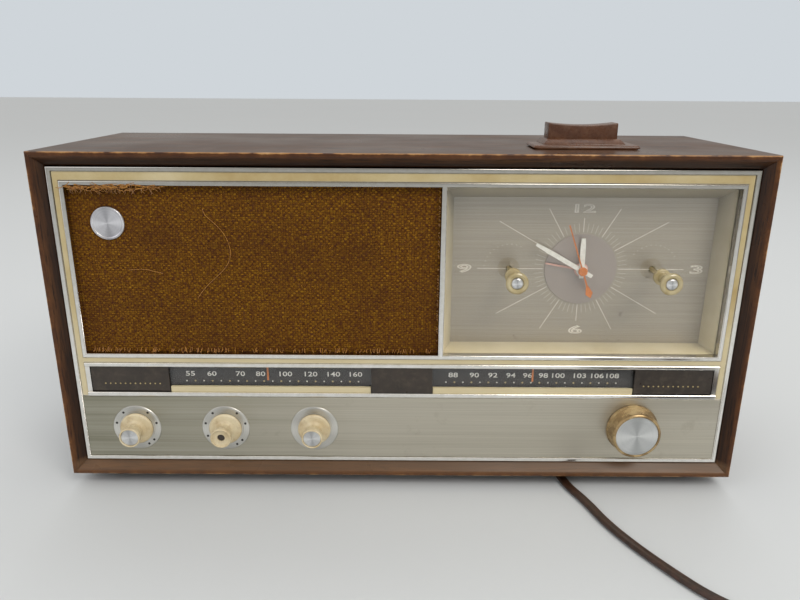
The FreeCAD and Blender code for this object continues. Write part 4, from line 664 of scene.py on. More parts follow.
def softMesh(node, rules, steps=3, clamped=True):
    # A copy of a solid with its edges eased: each rule is a width and a test for the edges it takes.
    work = bmesh.new()
    work.from_mesh(frame["nodes"][node].data)
    bmesh.ops.remove_doubles(work, verts=work.verts, dist=0.002 * mm)
    bmesh.ops.dissolve_limit(work, angle_limit=math.radians(0.6), verts=work.verts, edges=work.edges)
    for width, takes in rules:
        sharp = [e for e in work.edges if len(e.link_faces) == 2 and e.calc_face_angle(0) > math.radians(22)
                 and takes(e)]
        roundEdges(work, sharp, width, steps, clamped)
    host = linked("host", smoothed(meshOf(work, node + "_soft"), 50))
    host.modifiers.new("weigh", "WEIGHTED_NORMAL").keep_sharp = True
    return plainMesh(host)


def softened(name, node, finish, width, takes=lambda edge: True, steps=3, clamped=True):
    return settle(name, softMesh(node, [(width, takes)], steps, clamped), bodyOf[node], finish, [node])


def eased(points, reach):
    # The outline with its corners rounded off in three steps.
    points = [Vector(p) for p in points]
    line = [points[0]]
    for before, corner, after in zip(points, points[1:], points[2:]):
        near = min(reach, 0.45 * (before - corner).length, 0.45 * (after - corner).length)
        start = corner + (before - corner).normalized() * near
        end = corner + (after - corner).normalized() * near
        for t in (0, 1 / 3, 2 / 3, 1):
            line.append(start * (1 - t) ** 2 + corner * 2 * t * (1 - t) + end * t ** 2)
    return line + [points[-1]]


def lathe(outline, x, z, segments, ripple=None):
    # Turned about the level axis through x, z. The outline runs from the axis in front to the axis behind.
    work = bmesh.new()
    rings = []
    for radius, depth in outline:
        if radius < 1e-4:
            rings.append([work.verts.new(at(x, depth, z))])
            continue
        ring = []
        for i in range(segments):
            turn = math.tau * i / segments
            out = radius + (ripple(turn, depth) if ripple else 0)
            ring.append(work.verts.new(at(x + out * math.cos(turn), depth, z + out * math.sin(turn))))
        rings.append(ring)
    for first, second in zip(rings, rings[1:]):
        if len(first) > 1 and len(second) > 1:
            bridge(work, first, second)
            continue
        for i in range(segments if len(first) + len(second) > 2 else 0):
            j = (i + 1) % segments
            work.faces.new((first[0], second[i], second[j]) if len(first) == 1 else (first[i], second[0], first[j]))
    bmesh.ops.recalc_face_normals(work, faces=work.faces)
    return smoothed(meshOf(work, "turned"), 40)


def oneMesh(name, meshes):
    work = bmesh.new()
    for mesh in meshes:
        work.from_mesh(mesh)
    return smoothed(meshOf(work, name), 40)


# A numeral's height as a share of its type's size, and the height of the ink in millimetres.
printing = {"numeral": 0.7, "ink": 0.06}


def printed(text, height, x, depth, z, wide, line=None, bold=0.0):
    # Raised ink in the shape of numerals. With a line width only their outline is drawn.
    data = bpy.data.curves.new("print", "FONT")
    data.body = text
    data.resolution_u = 3
    share = 0.5 * (line or printing["ink"]) / height * printing["numeral"]
    if line:
        data.fill_mode = "NONE"
        data.bevel_depth = share
        data.bevel_resolution = 0
    else:
        data.extrude = share
    data.offset = bold
    mesh = plainMesh(linked("print", data))
    xs = [v.co.x for v in mesh.vertices]
    ys = [v.co.y for v in mesh.vertices]
    grow = height * mm / (max(ys) - min(ys))
    centre = Vector(((max(xs) + min(xs)) / 2, (max(ys) + min(ys)) / 2, 0))
    mesh.transform(Matrix.Translation(at(x, depth, z)) @ Matrix.Rotation(math.pi / 2, 4, "X")
                   @ Matrix.Diagonal((grow * wide, grow, grow * printing["numeral"], 1))
                   @ Matrix.Translation(-centre))
    return mesh


def marksTree(name, shape, layout):
    # Bars or dots, repeated round a circle or along a row.
    tree = bpy.data.node_groups.new(name, "GeometryNodeTree")
    add = nodeAdder(tree)
    inputs = {"Count": ("Int", 1), "Spread": ("Float", 0.0), "First": ("Float", 0.0), "Step": ("Float", 0.0),
              "Length": ("Float", 0.0), "Width": ("Float", 0.0), "Thickness": ("Float", 0.0)}
    for title, (kind, start) in inputs.items():
        socket = tree.interface.new_socket(name=title, in_out="INPUT", socket_type="NodeSocket" + kind)
        socket.default_value = start
    tree.interface.new_socket(name="Ink", in_out="INPUT", socket_type="NodeSocketMaterial")
    tree.interface.new_socket(name="Geometry", in_out="OUTPUT", socket_type="NodeSocketGeometry")
    given = add("NodeGroupInput").outputs

    index = add("GeometryNodeInputIndex", out=0)
    along = add("ShaderNodeMath", {0: index, 1: given["Step"], 2: given["First"]}, 0, operation="MULTIPLY_ADD")
    if layout == "ring":
        sides = {}
        for axis, part in (("X", "SINE"), ("Z", "COSINE")):
            share = add("ShaderNodeMath", {0: along}, 0, operation=part)
            sides[axis] = add("ShaderNodeMath", {0: share, 1: given["Spread"]}, 0, operation="MULTIPLY")
        place = add("ShaderNodeCombineXYZ", sides, 0)
        turn = add("ShaderNodeCombineXYZ", {"Y": along}, 0)
    else:
        place = add("ShaderNodeCombineXYZ", {"X": along}, 0)
        turn = (0.0, 0.0, 0.0)
    points = add("GeometryNodePoints", {"Count": given["Count"], "Position": place}, 0)
    if shape == "bar":
        size = add("ShaderNodeCombineXYZ", {"X": given["Width"], "Y": given["Thickness"], "Z": given["Length"]}, 0)
        mark = add("GeometryNodeMeshCube", {"Size": size}, 0)
    else:
        radius = add("ShaderNodeMath", {0: given["Width"], 1: 0.5}, 0, operation="MULTIPLY")
        disc = add("GeometryNodeMeshCylinder", {"Vertices": 16, "Depth": given["Thickness"], "Radius": radius},
                   "Mesh")
        mark = add("GeometryNodeTransform", {"Geometry": disc, "Rotation": (math.pi / 2, 0, 0)}, 0)
    copies = add("GeometryNodeInstanceOnPoints", {"Points": points, "Instance": mark, "Rotation": turn}, 0)
    real = add("GeometryNodeRealizeInstances", {"Geometry": copies}, 0)
    inked = add("GeometryNodeSetMaterial", {"Geometry": real, "Material": given["Ink"]}, 0)
    add("NodeGroupOutput", {"Geometry": inked})
    return tree


def grown(tree, place, values):
    # The tree's result as a plain mesh, moved to its place.
    host = linked("host", bpy.data.meshes.new("host"))
    build = host.modifiers.new("build", "NODES")
    build.node_group = tree
    for item in tree.interface.items_tree:
        if item.in_out == "INPUT" and item.name in values:
            build[item.identifier] = values[item.name]
    mesh = plainMesh(host)
    mesh.transform(Matrix.Translation(place))
    return mesh


ringOfBars = marksTree("ring_of_bars", "bar", "ring")
ringOfDots = marksTree("ring_of_dots", "dot", "ring")
rowOfDots = marksTree("row_of_dots", "dot", "row")
print("helpers ready")


finishes = {
    # figured brown boards with a soft sheen and edges rubbed pale
    "walnut": walnutLacquer("walnut_lacquer_level", "x"),
    # sawn softwood: matt and yellowish, with broad soft bands
    "pine": agedSurface("planed_pine", "#b98f5c", "#9a7345", 0.7, 0.0, 25),
    # dead black, greyed by dust
    "foot_rubber": mouldedPlastic("black_foot_rubber", "#201e1c", "#151412", 0.75, "#3c3833", 0.4),
    # the bright lines round every window
    "bright_plating": brightPlating(),
    # pale warm bands between the bright lines
    "gold_foil": goldInlay(),
    # a brown-gold speckle that swallows light
    "grille_weave": tweedWeave(),
    # flat brown board with a matted skin
    "fibreboard": hardboard(),
    # a wide soft glow with level streaks
    "satin_aluminium": brushedPanel(),
    # soft black ground that lets the pale numbers stand out
    "black_print": mouldedPlastic("black_dial_paint", "#2a2522", "#221e1b", 0.45, "#3a342e", 0.2, 0.003),
    # warm near-black with a dull shine and dust in patches
    "dark_plastic": mouldedPlastic("dark_brown_styrene", "#3a3129", "#2d2620", 0.34, "#5d5444", 0.4),
    # hardly seen, but for a faint mirror of the room
    "clear_lens": clearStyrene(),
    # yellowed ivory knobs with brown hand grime
    "cream_plastic": mouldedPlastic("aged_cream_styrene", "#d6caab", "#c6b38c", 0.4, "#8d6f52", 0.5),
    # the warm needles and alarm hand, the only strong colour
    "orange_paint": enamel("orange_enamel", "#d07a34", "#bb6824"),
    # clean white, which reads across the room
    "white_paint": enamel("white_enamel", "#e9e8e2", "#d5d3c9"),
    # a faded red, now nearly flesh-coloured
    "pink_paint": enamel("pink_enamel", "#dcb3a6", "#cc9f92"),
    # dull grey metal with cloudy patches
    "zinc_steel": agedSurface("zinc_plated_steel", "#a9a79c", "#85857f", 0.42),
    # metal with a faint yellow-green cast
    "cadmium_steel": agedSurface("cadmium_plated_steel", "#b3ab90", "#8f876c", 0.36),
    # clean pale metal, brighter than the steel about it
    "can_aluminium": agedSurface("drawn_aluminium_can", "#c6c7c6", "#a2a3a2", 0.3),
    # dark brown lacquered iron, half metal and half varnish
    "iron_core": agedSurface("varnished_iron_core", "#4b443c", "#332e29", 0.5, 0.7),
    # dull yellow metal
    "brass_vanes": agedSurface("brass_vanes", "#b9983f", "#93762c", 0.34),
    # pale waxed string
    "nylon_cord": agedSurface("nylon_cord", "#cfc39c", "#a99c75", 0.6, 0.0, 2.5),
    # toffee-brown laminate with a low gloss
    "phenolic": agedSurface("phenolic_paper_board", "#8a5a2b", "#6d4420", 0.5, 0.0),
    # matt charcoal felted paper
    "cone_paper": agedSurface("pressed_cone_paper", "#2c2926", "#1e1c1a", 0.85, 0.0, 2),
    # hard grey-black, like slate
    "ferrite": agedSurface("sintered_ferrite", "#34322f", "#232120", 0.55, 0.1),
    # red-brown with a sharper shine than the wood below it
    "russet_plastic": mouldedPlastic("russet_styrene", "#5c3820", "#482815", 0.28, "#8a6d55", 0.3),
    "brown_rubber": leadJacket,
}
walnutUpright = walnutLacquer("walnut_lacquer_upright", "z")

for node, thing in frame["nodes"].items():
    thing.data.materials.clear()
    thing.data.materials.append(finishes[slotOf[node]])
print("finishes on every solid")


case = {"edge": 0.9, "mitre": 0.2, "mitreWithin": 0.2, "feet": 0.4}


def onMitre(edge):
    # The joints between boards run at 45 degrees across the corners.
    mid = (edge.verts[0].co + edge.verts[1].co) / 2
    side = caseHigh.x - abs(mid.x)
    return min(abs(side - (mid.z - woodZ)), abs(side - (caseTop - mid.z))) < case["mitreWithin"] * mm


for node, finish in (("cabinet_top", finishes["walnut"]), ("cabinet_bottom", finishes["walnut"]),
                     ("cabinet_left_side", walnutUpright), ("cabinet_right_side", walnutUpright)):
    mesh = softMesh(node, [(case["edge"], lambda e: not onMitre(e)), (case["mitre"], onMitre)])
    settle(node + "_board", mesh, "cabinet", finish, [node])
softened("rubber_feet", "feet", finishes["foot_rubber"], case["feet"])
print("case made")


moulding = {"bead": 0.6, "beadSteps": 4, "beadWithin": 0.3, "bands": 0.12, "panel": 0.25}


def onBead(edge):
    # The long edges of the beads, along their fronts.
    if edge.calc_face_angle(0) < math.radians(60):
        return False
    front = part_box("front_bezel")[0].y
    return all(v.co.y < front + moulding["beadWithin"] * mm for v in edge.verts)


softened("plated_moulding", "front_bezel", finishes["bright_plating"], moulding["bead"], onBead,
         moulding["beadSteps"], False)
softened("gold_bands", "bezel_inlay", finishes["gold_foil"], moulding["bands"])
softened("control_plate", "control_panel", finishes["satin_aluminium"], moulding["panel"])
print("front moulding made")


grille = {"left": -190.5, "right": 22.0, "low": 77.2, "high": 183.0, "front": 8.55, "thick": 0.35,
          "across": 170, "up": 84, "wave": 0.128, "gatherFrom": 168, "thread": 0.16,
          "frays": 46, "fringe": 150, "sideEnds": 60}


def makeGrilleCloth():
    # Stretched over its board, with a little slack in long waves and small gathers along the top.
    work = bmesh.new()
    across, up = grille["across"], grille["up"]
    rows = []
    for j in range(up + 1):
        z = grille["low"] + (grille["high"] - grille["low"]) * j / up
        row = []
        for i in range(across + 1):
            x = grille["left"] + (grille["right"] - grille["left"]) * i / across
            slack = math.sin(x * 0.11 + math.sin(z * 0.07) * 1.4) * 0.5 + math.sin(z * 0.19 + x * 0.03) * 0.35
            gather = math.sin(x * 0.42) * max(0, (z - grille["gatherFrom"]) / 15) * 0.8
            row.append(work.verts.new(at(x, grille["front"] + grille["wave"] * (slack + gather), z)))
        rows.append(row)
    for low, high in zip(rows, rows[1:]):
        bridge(work, high, low, closed=False)
    mesh = meshOf(work, "cloth")
    mesh.polygons.foreach_set("use_smooth", [True] * len(mesh.polygons))
    host = linked("host", mesh)
    solid = host.modifiers.new("solid", "SOLIDIFY")
    solid.thickness = grille["thick"] * mm
    solid.offset = 0
    return settle("grille_tweed", plainMesh(host), "cabinet", finishes["grille_weave"], ["grille_cloth"])


def threadMesh(paths, radius):
    lines = smoothLines("threads", [[at(*place) for place in path] for path in paths], 5)
    lines.data.bevel_depth = radius * mm
    lines.data.bevel_resolution = 1
    return smoothed(plainMesh(lines), 60)


def makeLooseThreads():
    shake = random.Random(11)
    frays, fringe = [], []
    # Ends that have pulled loose hang over the moulding's top left corner.
    for i in range(grille["frays"]):
        x = -186 + 52 * shake.random() ** 1.5
        z = 178.2 + shake.uniform(-1.5, 0.6)
        path = [(x, 8.2, z - 3)]
        for k in range(1, 5):
            path.append((x + shake.uniform(-4, 5) * k / 2, 5.5 - 2.2 * min(k, 2) / 2 + shake.uniform(-0.3, 0.3),
                         z + shake.uniform(-1.8, 1.6) + 0.35 * k))
        frays.append(path)
    # A fringe of cut ends stands on the sill along the bottom edge, longest at the left.
    for i in range(grille["fringe"]):
        x = -186.5 + 205 * shake.random()
        long = 1.9 if x < -110 else 1.0
        fringe.append([(x, 8.1, 81.4 + shake.uniform(-0.6, 1.0)), (x + shake.uniform(-0.5, 0.5), 7.3, 80.5),
                       (x + shake.uniform(-1.2, 1.2), 6.3 + shake.uniform(-0.4, 0.4),
                        80.0 - 0.35 * shake.random() * long)])
    # Short ends stand out along the right edge.
    for i in range(grille["sideEnds"]):
        z = 84 + 93 * shake.random()
        frays.append([(20.2, 8.1, z), (20.9, 7.4, z + shake.uniform(-1, 1)),
                      (20.9, 6.0 + shake.uniform(-0.6, 0.8), z + shake.uniform(-1.6, 1.6))])
    snags = [[(-113, 8.1, 166), (-113, 7.8, 163), (-107, 7.7, 158), (-101, 7.7, 151), (-98.2, 7.7, 141),
              (-101, 7.7, 133), (-107, 7.7, 127), (-116, 7.8, 119), (-120, 8.1, 113)],
             [(-158, 8.1, 130), (-150, 7.8, 131), (-143, 7.8, 129), (-139, 8.1, 128)]]
    # golden rayon, with the soft shine of twisted thread
    rayon = grained("pulled_rayon_thread", 1.1, [(0.35, "#7c4a10"), (0.65, "#bb8128")], (0.1, 0.5),
                    surface={"Roughness": 0.7, "Sheen Weight": 0.3})
    mesh = oneMesh("loose_threads", [threadMesh(frays + snags, grille["thread"]),
                                     threadMesh(fringe, grille["thread"] * 0.9)])
    return settle("loose_threads", mesh, "cabinet", rayon, slotName="grille_weave")


clothPiece = makeGrilleCloth()
threadPiece = makeLooseThreads()


def makeBadge():
    # A plain dished button: a spun face inside a rolled rim.
    centre = middle("grille_badge")
    radius, front, back = discOf("grille_badge")
    outline = eased([(0, front + 0.35), (radius - 1.6, front + 0.35), (radius - 1.2, front + 0.05),
                     (radius - 0.4, front), (radius, front + 0.5), (radius, back), (0, back)], 0.25)
    finish = spunMetal("spun_aluminium_button", centre, "#a5a4a8", "#e8e7ea", 0.3)
    mesh = lathe(outline, centre.x / mm, (centre.z - woodZ) / mm, 72)
    settle("badge_button", mesh, "cabinet", finish, ["grille_badge"])


makeBadge()
print("grille made")


smallKnob = {"x": (-163, -108.35, -53.7), "z": 30.5, "tip": -10, "rim": 6.3, "stem": 4.6, "flange": 10,
             "back": 3.3, "shaft": 2.98, "well": 1.1, "seat": 2.2, "ribs": 24, "ribHeight": 0.07}


def makeSmallKnob(node, x):
    tip, rim, stem, skirt = smallKnob["tip"], smallKnob["rim"], smallKnob["stem"], smallKnob["flange"]
    back, shaft, seat, z = smallKnob["back"], smallKnob["shaft"], smallKnob["seat"], smallKnob["z"]
    well = tip + smallKnob["well"]
    rear = discOf(node)[2]
    lost = node == "tone_knob"
    outline = [(0, well + seat), (2.3, well + seat), (2.3, well)] if lost else [(0, well)]
    outline += [(rim - 1.0, well), (rim - 1.0, tip + 0.05), (rim - 0.4, tip), (rim, tip + 0.5), (rim, tip + 2.2)]
    for i in range(1, 9):
        t = i / 8
        outline.append((stem + (rim - stem) * (1 - t) ** 2.2, tip + 2.2 + (back - 3.6 - tip - 2.2) * t))
    outline += [(stem + 0.5, back - 2.8), (stem + 1.6, back - 2.15), (skirt - 0.9, back - 1.9),
                (skirt, back - 1.1), (skirt, back), (shaft, back), (shaft, rear), (0, rear)]

    def ribs(turn, depth):
        inGrip = tip + 1.5 < depth < tip + 8.5
        return smallKnob["ribHeight"] * math.cos(smallKnob["ribs"] * turn) if inGrip else 0

    settle(node + "_moulding", lathe(eased(outline, 0.22), x, z, 144, ribs), bodyOf[node],
           finishes["cream_plastic"], [node])
    if lost:
        # its button is lost, and the empty seat shows dark
        plug = eased([(0, well + seat - 1.2), (2.2, well + seat - 1.2), (2.2, well + seat - 0.05),
                      (0, well + seat - 0.05)], 0.1)
        settle("tone_knob_seat", lathe(plug, x, z, 32), bodyOf[node], finishes["dark_plastic"],
               slotName="dark_plastic")
        return
    cap = node + "_cap"
    radius, front, rear = discOf(cap)
    face = eased([(0, front + 0.12), (radius - 0.9, front + 0.12), (radius - 0.5, front), (radius, front + 0.15),
                  (radius, rear), (0, rear)], 0.12)
    finish = spunMetal(cap + "_spun", middle(cap), "#b0b0b0", "#eeeeee", 0.25)
    settle(cap + "_disc", lathe(face, x, z, 64), bodyOf[cap], finish, [cap])


for node, x in zip(("volume_knob", "tone_knob", "selector_knob"), smallKnob["x"]):
    makeSmallKnob(node, x)


plate = {"radius": 14.8, "hole": 4.8, "groove": 10.7, "dotRing": 12.6, "dotDepth": 3.56, "dot": 1.5, "ink": 0.1,
         "angles": (-115, -75, -36, 36, 75, 130, 150)}


def makeKnobPlates():
    ink, z = finishes["black_print"], smallKnob["z"]
    front, rear = discOf("knob_plates")[1:]
    radius, hole, groove = plate["radius"], plate["hole"], plate["groove"]
    face = eased([(hole, front + 0.02), (groove - 0.3, front + 0.02), (groove, front + 0.14),
                  (groove + 0.3, front + 0.02), (radius - 1.2, front), (radius - 0.4, front + 0.1), (radius, rear),
                  (hole, rear), (hole, front + 0.02)], 0.12)
    dots = []
    for name, x in zip(("volume_plate", "tone_plate", "selector_plate"), smallKnob["x"]):
        finish = spunMetal("spun_aluminium_plate", at(x, 0, z), "#b4b2ac", "#e2e0d9", 0.3)
        settle(name, lathe(face, x, z, 96), "cabinet", finish, ["knob_plates"])
        # the selector's plate has no scale of dots
        for angle in plate["angles"] if name != "selector_plate" else ():
            turn = math.radians(angle)
            spot = at(x + plate["dotRing"] * math.sin(turn), plate["dotDepth"],
                      z + plate["dotRing"] * math.cos(turn))
            dots.append(grown(rowOfDots, spot, {"Count": 1, "First": 0.0, "Step": 0.0, "Width": plate["dot"] * mm,
                                                "Thickness": plate["ink"] * mm, "Ink": ink}))
    settle("plate_dots", oneMesh("plate_dots", dots), "cabinet", ink, slotName="black_print")


makeKnobPlates()


tuning = {"x": 141.8, "z": 32, "nose": -7, "hub": 3.9, "base": 15.8, "face": 14.5, "shaft": 3.1, "flutes": 84,
          "fluteHeight": 0.1}


def makeTuningKnob():
    nose, hub, base, face, shaft = (tuning[key] for key in ("nose", "hub", "base", "face", "shaft"))
    outline = [(0, nose + 0.8), (face - 1.7, nose + 0.8), (face - 1.7, nose), (face - 1.1, nose),
               (face - 0.2, nose + 0.6), (face, nose + 1.4)]
    for i in range(1, 9):
        t = i / 8
        outline.append((face + (base - 0.5 - face) * t ** 1.6, nose + 1.4 + (hub - 2.2 - nose - 1.4) * t))
    outline += [(base - 0.3, hub - 1.9), (base, hub - 1.3), (base, hub), (shaft, hub), (shaft, hub - 2),
                (0, hub - 2)]

    def flutes(turn, depth):
        # Fine flutes round the side, 1.1 mm apart.
        onSide = nose + 1.8 < depth < hub - 2.4
        return tuning["fluteHeight"] * math.cos(tuning["flutes"] * turn) if onSide else 0

    # plated styrene gone bronze: warm metal, worn darker in patches
    bronzed = grained("bronzed_styrene_plating", 8, [(0.3, "#7c6442"), (0.5, "#a28860"), (0.7, "#c6b085")],
                      (0.04, 0.4), {"Detail": 7.0}, [(0.3, 0.18), (0.7, 0.34)], {"Metallic": 0.6})
    settle("tuning_knob_moulding", lathe(eased(outline, 0.25), tuning["x"], tuning["z"], 504, flutes),
           bodyOf["tuning_knob"], bronzed, ["tuning_knob"])
    radius, front, rear = discOf("tuning_knob_face")
    disc = eased([(0, front + 0.15), (radius - 1.2, front + 0.12), (radius - 0.7, front), (radius, front + 0.1),
                  (radius, rear), (0, rear)], 0.15)
    finish = spunMetal("spun_aluminium_face", middle("tuning_knob_face"), "#b2b4b4", "#eff0ef", 0.28)
    settle("tuning_knob_disc", lathe(disc, tuning["x"], tuning["z"], 120), bodyOf["tuning_knob_face"], finish,
           ["tuning_knob_face"])


makeTuningKnob()
print("knobs made")


# Each scale's numbers with their places across. The dots' rows run from one place to another.
dial = {"numberHeight": 3.1, "numberWide": 1.4, "numberZ": 64.5, "bold": 0.012, "face": 9.97, "dotZ": 59.7,
        "am": ((55, -129), (60, -115.9), (70, -98.5), (80, -86.2), (100, -70.8), (120, -55.4), (140, -41.5),
               (160, -28)),
        "fm": ((88, 31.3), (90, 44.2), (92, 55.5), (94, 66.5), (96, 76.7), (98, 86.3), (100, 95.5), (103, 108.6),
               (106, 119.3), (108, 128.6)),
        "rows": ((-131.5, -26.5), (27, 131)), "dots": 21, "whiteDot": 0.9, "yellowDot": 1.15, "ink": 0.1}
endMarks = {"x": 163, "depth": 5.17, "z": 59.6, "count": 12, "first": -16.5, "step": 3, "dot": 0.9, "ink": 0.08}


def makeDialPrint():
    white = finishes["white_paint"]
    # dots that have gone the colour of weak tea
    yellow = enamel("yellowed_enamel", "#b8a774", "#9c8b5a")
    numbers = [printed(str(number), dial["numberHeight"], x, dial["face"], dial["numberZ"], dial["numberWide"],
                       bold=dial["bold"]) for scale in ("am", "fm") for number, x in dial[scale]]
    settle("dial_numbers", oneMesh("dial_numbers", numbers), "cabinet", white, slotName="white_paint")
    # white and yellow dots take turns along each row
    for name, ink, width, skipped in (("dial_dots_white", white, dial["whiteDot"], 0),
                                      ("dial_dots_yellow", yellow, dial["yellowDot"], 1)):
        rows = []
        for start, end in dial["rows"]:
            step = (end - start) / (dial["dots"] - 1)
            rows.append(grown(rowOfDots, at(0, dial["face"], dial["dotZ"]),
                              {"Count": (dial["dots"] + 1) // 2 - skipped, "First": (start + step * skipped) * mm,
                               "Step": 2 * step * mm, "Width": width * mm, "Thickness": dial["ink"] * mm,
                               "Ink": ink}))
        settle(name, oneMesh(name, rows), "cabinet", ink, slotName="white_paint")
    # a plain row of dots on each end block
    rows = [grown(rowOfDots, at(side * endMarks["x"], endMarks["depth"], endMarks["z"]),
                  {"Count": endMarks["count"], "First": endMarks["first"] * mm, "Step": endMarks["step"] * mm,
                   "Width": endMarks["dot"] * mm, "Thickness": endMarks["ink"] * mm, "Ink": yellow})
            for side in (-1, 1)]
    settle("end_block_dots", oneMesh("end_block_dots", rows), "cabinet", yellow, slotName="white_paint")


makeDialPrint()
softened("dial_end_blocks", "dial_blocks", finishes["dark_plastic"], 0.3)
softened("dial_window", "dial_lens", finishes["clear_lens"], 0.2, steps=2)
softened("needle_carriage", "pointer_carriage", finishes["orange_paint"], 0.08, steps=1)
print("dial made")


# A numeral's text, height, place from the middle and stretch. Each hour's line ends at its own radius.
clock = {"x": 106.9, "z": 128.1, "face": 23.97, "disc": 21.6,
         "numerals": (("12", 5.2, 0, 36.7, 2.2), ("6", 5.4, 0, -38.7, 2.6), ("9", 5.4, -69.8, 0, 2.6),
                      ("3", 5.4, 69.7, 0, 2.6)), "numeralLine": 0.5,
         "lineStart": 22.5, "lineWidth": 0.42, "lineInk": 0.06,
         "lineEnds": {1: 42, 2: 57.5, 4: 56, 5: 44, 7: 44, 8: 57, 10: 57.5, 11: 42, 12: 31, 3: 62, 6: 33, 9: 62},
         "tickRing": 25.2, "tick": 5.2, "tickWidth": 0.32, "tickInk": 0.05,
         "posts": (("sleep_timer_knob", 63.9), ("wake_mode_knob", 149.9))}
# The dots round each post: which side it is on, and the angle of the first.
postDots = {"arcs": ((-1, -1.45), (1, -0.9)), "away": 43, "ring": 15, "count": 11, "step": 0.19, "dot": 0.7}


def makeClockPrint():
    # a white that has greyed a little
    white = enamel("dial_white_ink", "#ded9ce", "#c9c3b6")
    x0, z0, face = clock["x"], clock["z"], clock["face"]
    numerals = [printed(text, height, x0 + dx, face - 0.05, z0 + dz, wide, line=clock["numeralLine"])
                for text, height, dx, dz, wide in clock["numerals"]]
    settle("clock_numerals", oneMesh("clock_numerals", numerals), "cabinet", white, slotName="white_paint")
    inner = clock["lineStart"]
    lines = [grown(ringOfBars, at(x0, face, z0),
                   {"Count": 1, "First": math.tau * hour / 12, "Step": 0.0, "Spread": (inner + outer) / 2 * mm,
                    "Length": (outer - inner) * mm, "Width": clock["lineWidth"] * mm,
                    "Thickness": clock["lineInk"] * mm, "Ink": white}) for hour, outer in clock["lineEnds"].items()]
    settle("hour_lines", oneMesh("hour_lines", lines), "cabinet", white, slotName="white_paint")
    # fainter than the hours, so that the ring of minutes stays quiet
    pale = enamel("dial_grey_ink", "#c4bdae", "#b4ac9d")
    marks = [grown(ringOfBars, at(x0, face, z0),
                   {"Count": 60, "First": 0.0, "Step": math.tau / 60, "Spread": clock["tickRing"] * mm,
                    "Length": clock["tick"] * mm, "Width": clock["tickWidth"] * mm,
                    "Thickness": clock["tickInk"] * mm, "Ink": pale})]
    for side, first in postDots["arcs"]:
        marks.append(grown(ringOfDots, at(x0 + side * postDots["away"], face, z0),
                           {"Count": postDots["count"], "First": first, "Step": postDots["step"],
                            "Spread": postDots["ring"] * mm, "Length": 0.0, "Width": postDots["dot"] * mm,
                            "Thickness": clock["tickInk"] * mm, "Ink": pale}))
    settle("minute_marks", oneMesh("minute_marks", marks), "cabinet", pale, slotName="white_paint")


makeClockPrint()


def champagneDial():
    # Level-brushed champagne sheet with a matt disc printed in its middle: soft and warm behind the hands.
    made, add, spot = startMaterial("champagne_brushed_dial")
    brushed = add("ShaderNodeMapping", {"Vector": spot, "Scale": per(110, 0.66, 0.66)}, 0)
    streaks = add("ShaderNodeTexNoise", {"Vector": brushed, "Scale": 1.0, "Detail": 5.0, "Roughness": 0.65}, "Fac")
    spots = add("ShaderNodeTexNoise", {"Vector": spot, "Scale": per(14), "Detail": 4.0}, "Fac")
    fromMiddle = tuple(-c for c in at(clock["x"], 0, clock["z"]))
    centred = add("ShaderNodeMapping", {"Vector": spot, "Location": fromMiddle}, 0)
    away = add("ShaderNodeSeparateXYZ", {"Vector": centred}).outputs
    flat = add("ShaderNodeCombineXYZ", {"X": away["X"], "Z": away["Z"]}, 0)
    radius = add("ShaderNodeVectorMath", {0: flat}, "Value", operation="LENGTH")
    inDisc = add("ShaderNodeMath", {0: radius, 1: clock["disc"] * mm}, 0, operation="LESS_THAN")
    colour = add("ShaderNodeValToRGB", {"Fac": streaks}, "Color", [(0.3, "#9b9385"), (0.7, "#aca495")])
    colour = add("ShaderNodeMix", {0: inDisc, 6: colour, 7: hexColour("#a0968e")}, 2, data_type="RGBA")
    marked = add("ShaderNodeValToRGB", {"Fac": spots}, "Color", [(0.70, 0.0), (0.76, 0.5)])
    colour = add("ShaderNodeMix", {0: marked, 6: colour, 7: hexColour("#6d6459")}, 2, data_type="RGBA")
    normal = add("ShaderNodeBump", {"Height": streaks, "Distance": 0.03 * mm, "Strength": 0.35}, "Normal")
    shader = add("ShaderNodeBsdfPrincipled", {"Base Color": colour, "Metallic": 0.5, "Roughness": 0.38,
                                              "Anisotropic": 0.4, "Normal": normal}, 0)
    add("ShaderNodeOutputMaterial", {"Surface": shader})
    return made


def shroudFinish():
    # Cream styrene walls, painted darker towards the back and the top as painted shade.
    made, add, spot = startMaterial("cream_shroud_styrene")
    mottle = add("ShaderNodeTexNoise", {"Vector": spot, "Scale": per(17), "Detail": 7.0}, "Fac")
    place = add("ShaderNodeSeparateXYZ", {"Vector": spot}).outputs
    low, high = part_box("clock_shroud")
    # painted shade: darker deeper in and higher up, where the walls face away from the light
    back = add("ShaderNodeMapRange", {"Value": place["Y"], "From Min": frontY + 11 * mm,
                                      "From Max": frontY + 24 * mm, "To Min": 0.0, "To Max": 0.35}, "Result")
    shadedTop = add("ShaderNodeMapRange", {"Value": place["Z"], "From Min": low.z + 20 * mm,
                                       "From Max": high.z - 12 * mm, "To Min": 0.0, "To Max": 0.5}, "Result")
    paintedShade = add("ShaderNodeMath", {0: back, 1: shadedTop}, 0, operation="ADD")
    colour = add("ShaderNodeValToRGB", {"Fac": mottle}, "Color", [(0.35, "#d3c7a4"), (0.65, "#ddd2b4")])
    colour = add("ShaderNodeMix", {0: paintedShade, 6: colour, 7: hexColour("#7f7766")}, 2, data_type="RGBA")
    normal = add("ShaderNodeBump", {"Height": mottle, "Distance": 0.05 * mm, "Strength": 0.4}, "Normal")
    shader = add("ShaderNodeBsdfPrincipled", {"Base Color": colour, "Roughness": 0.38, "Normal": normal}, 0)
    add("ShaderNodeOutputMaterial", {"Surface": shader})
    return made


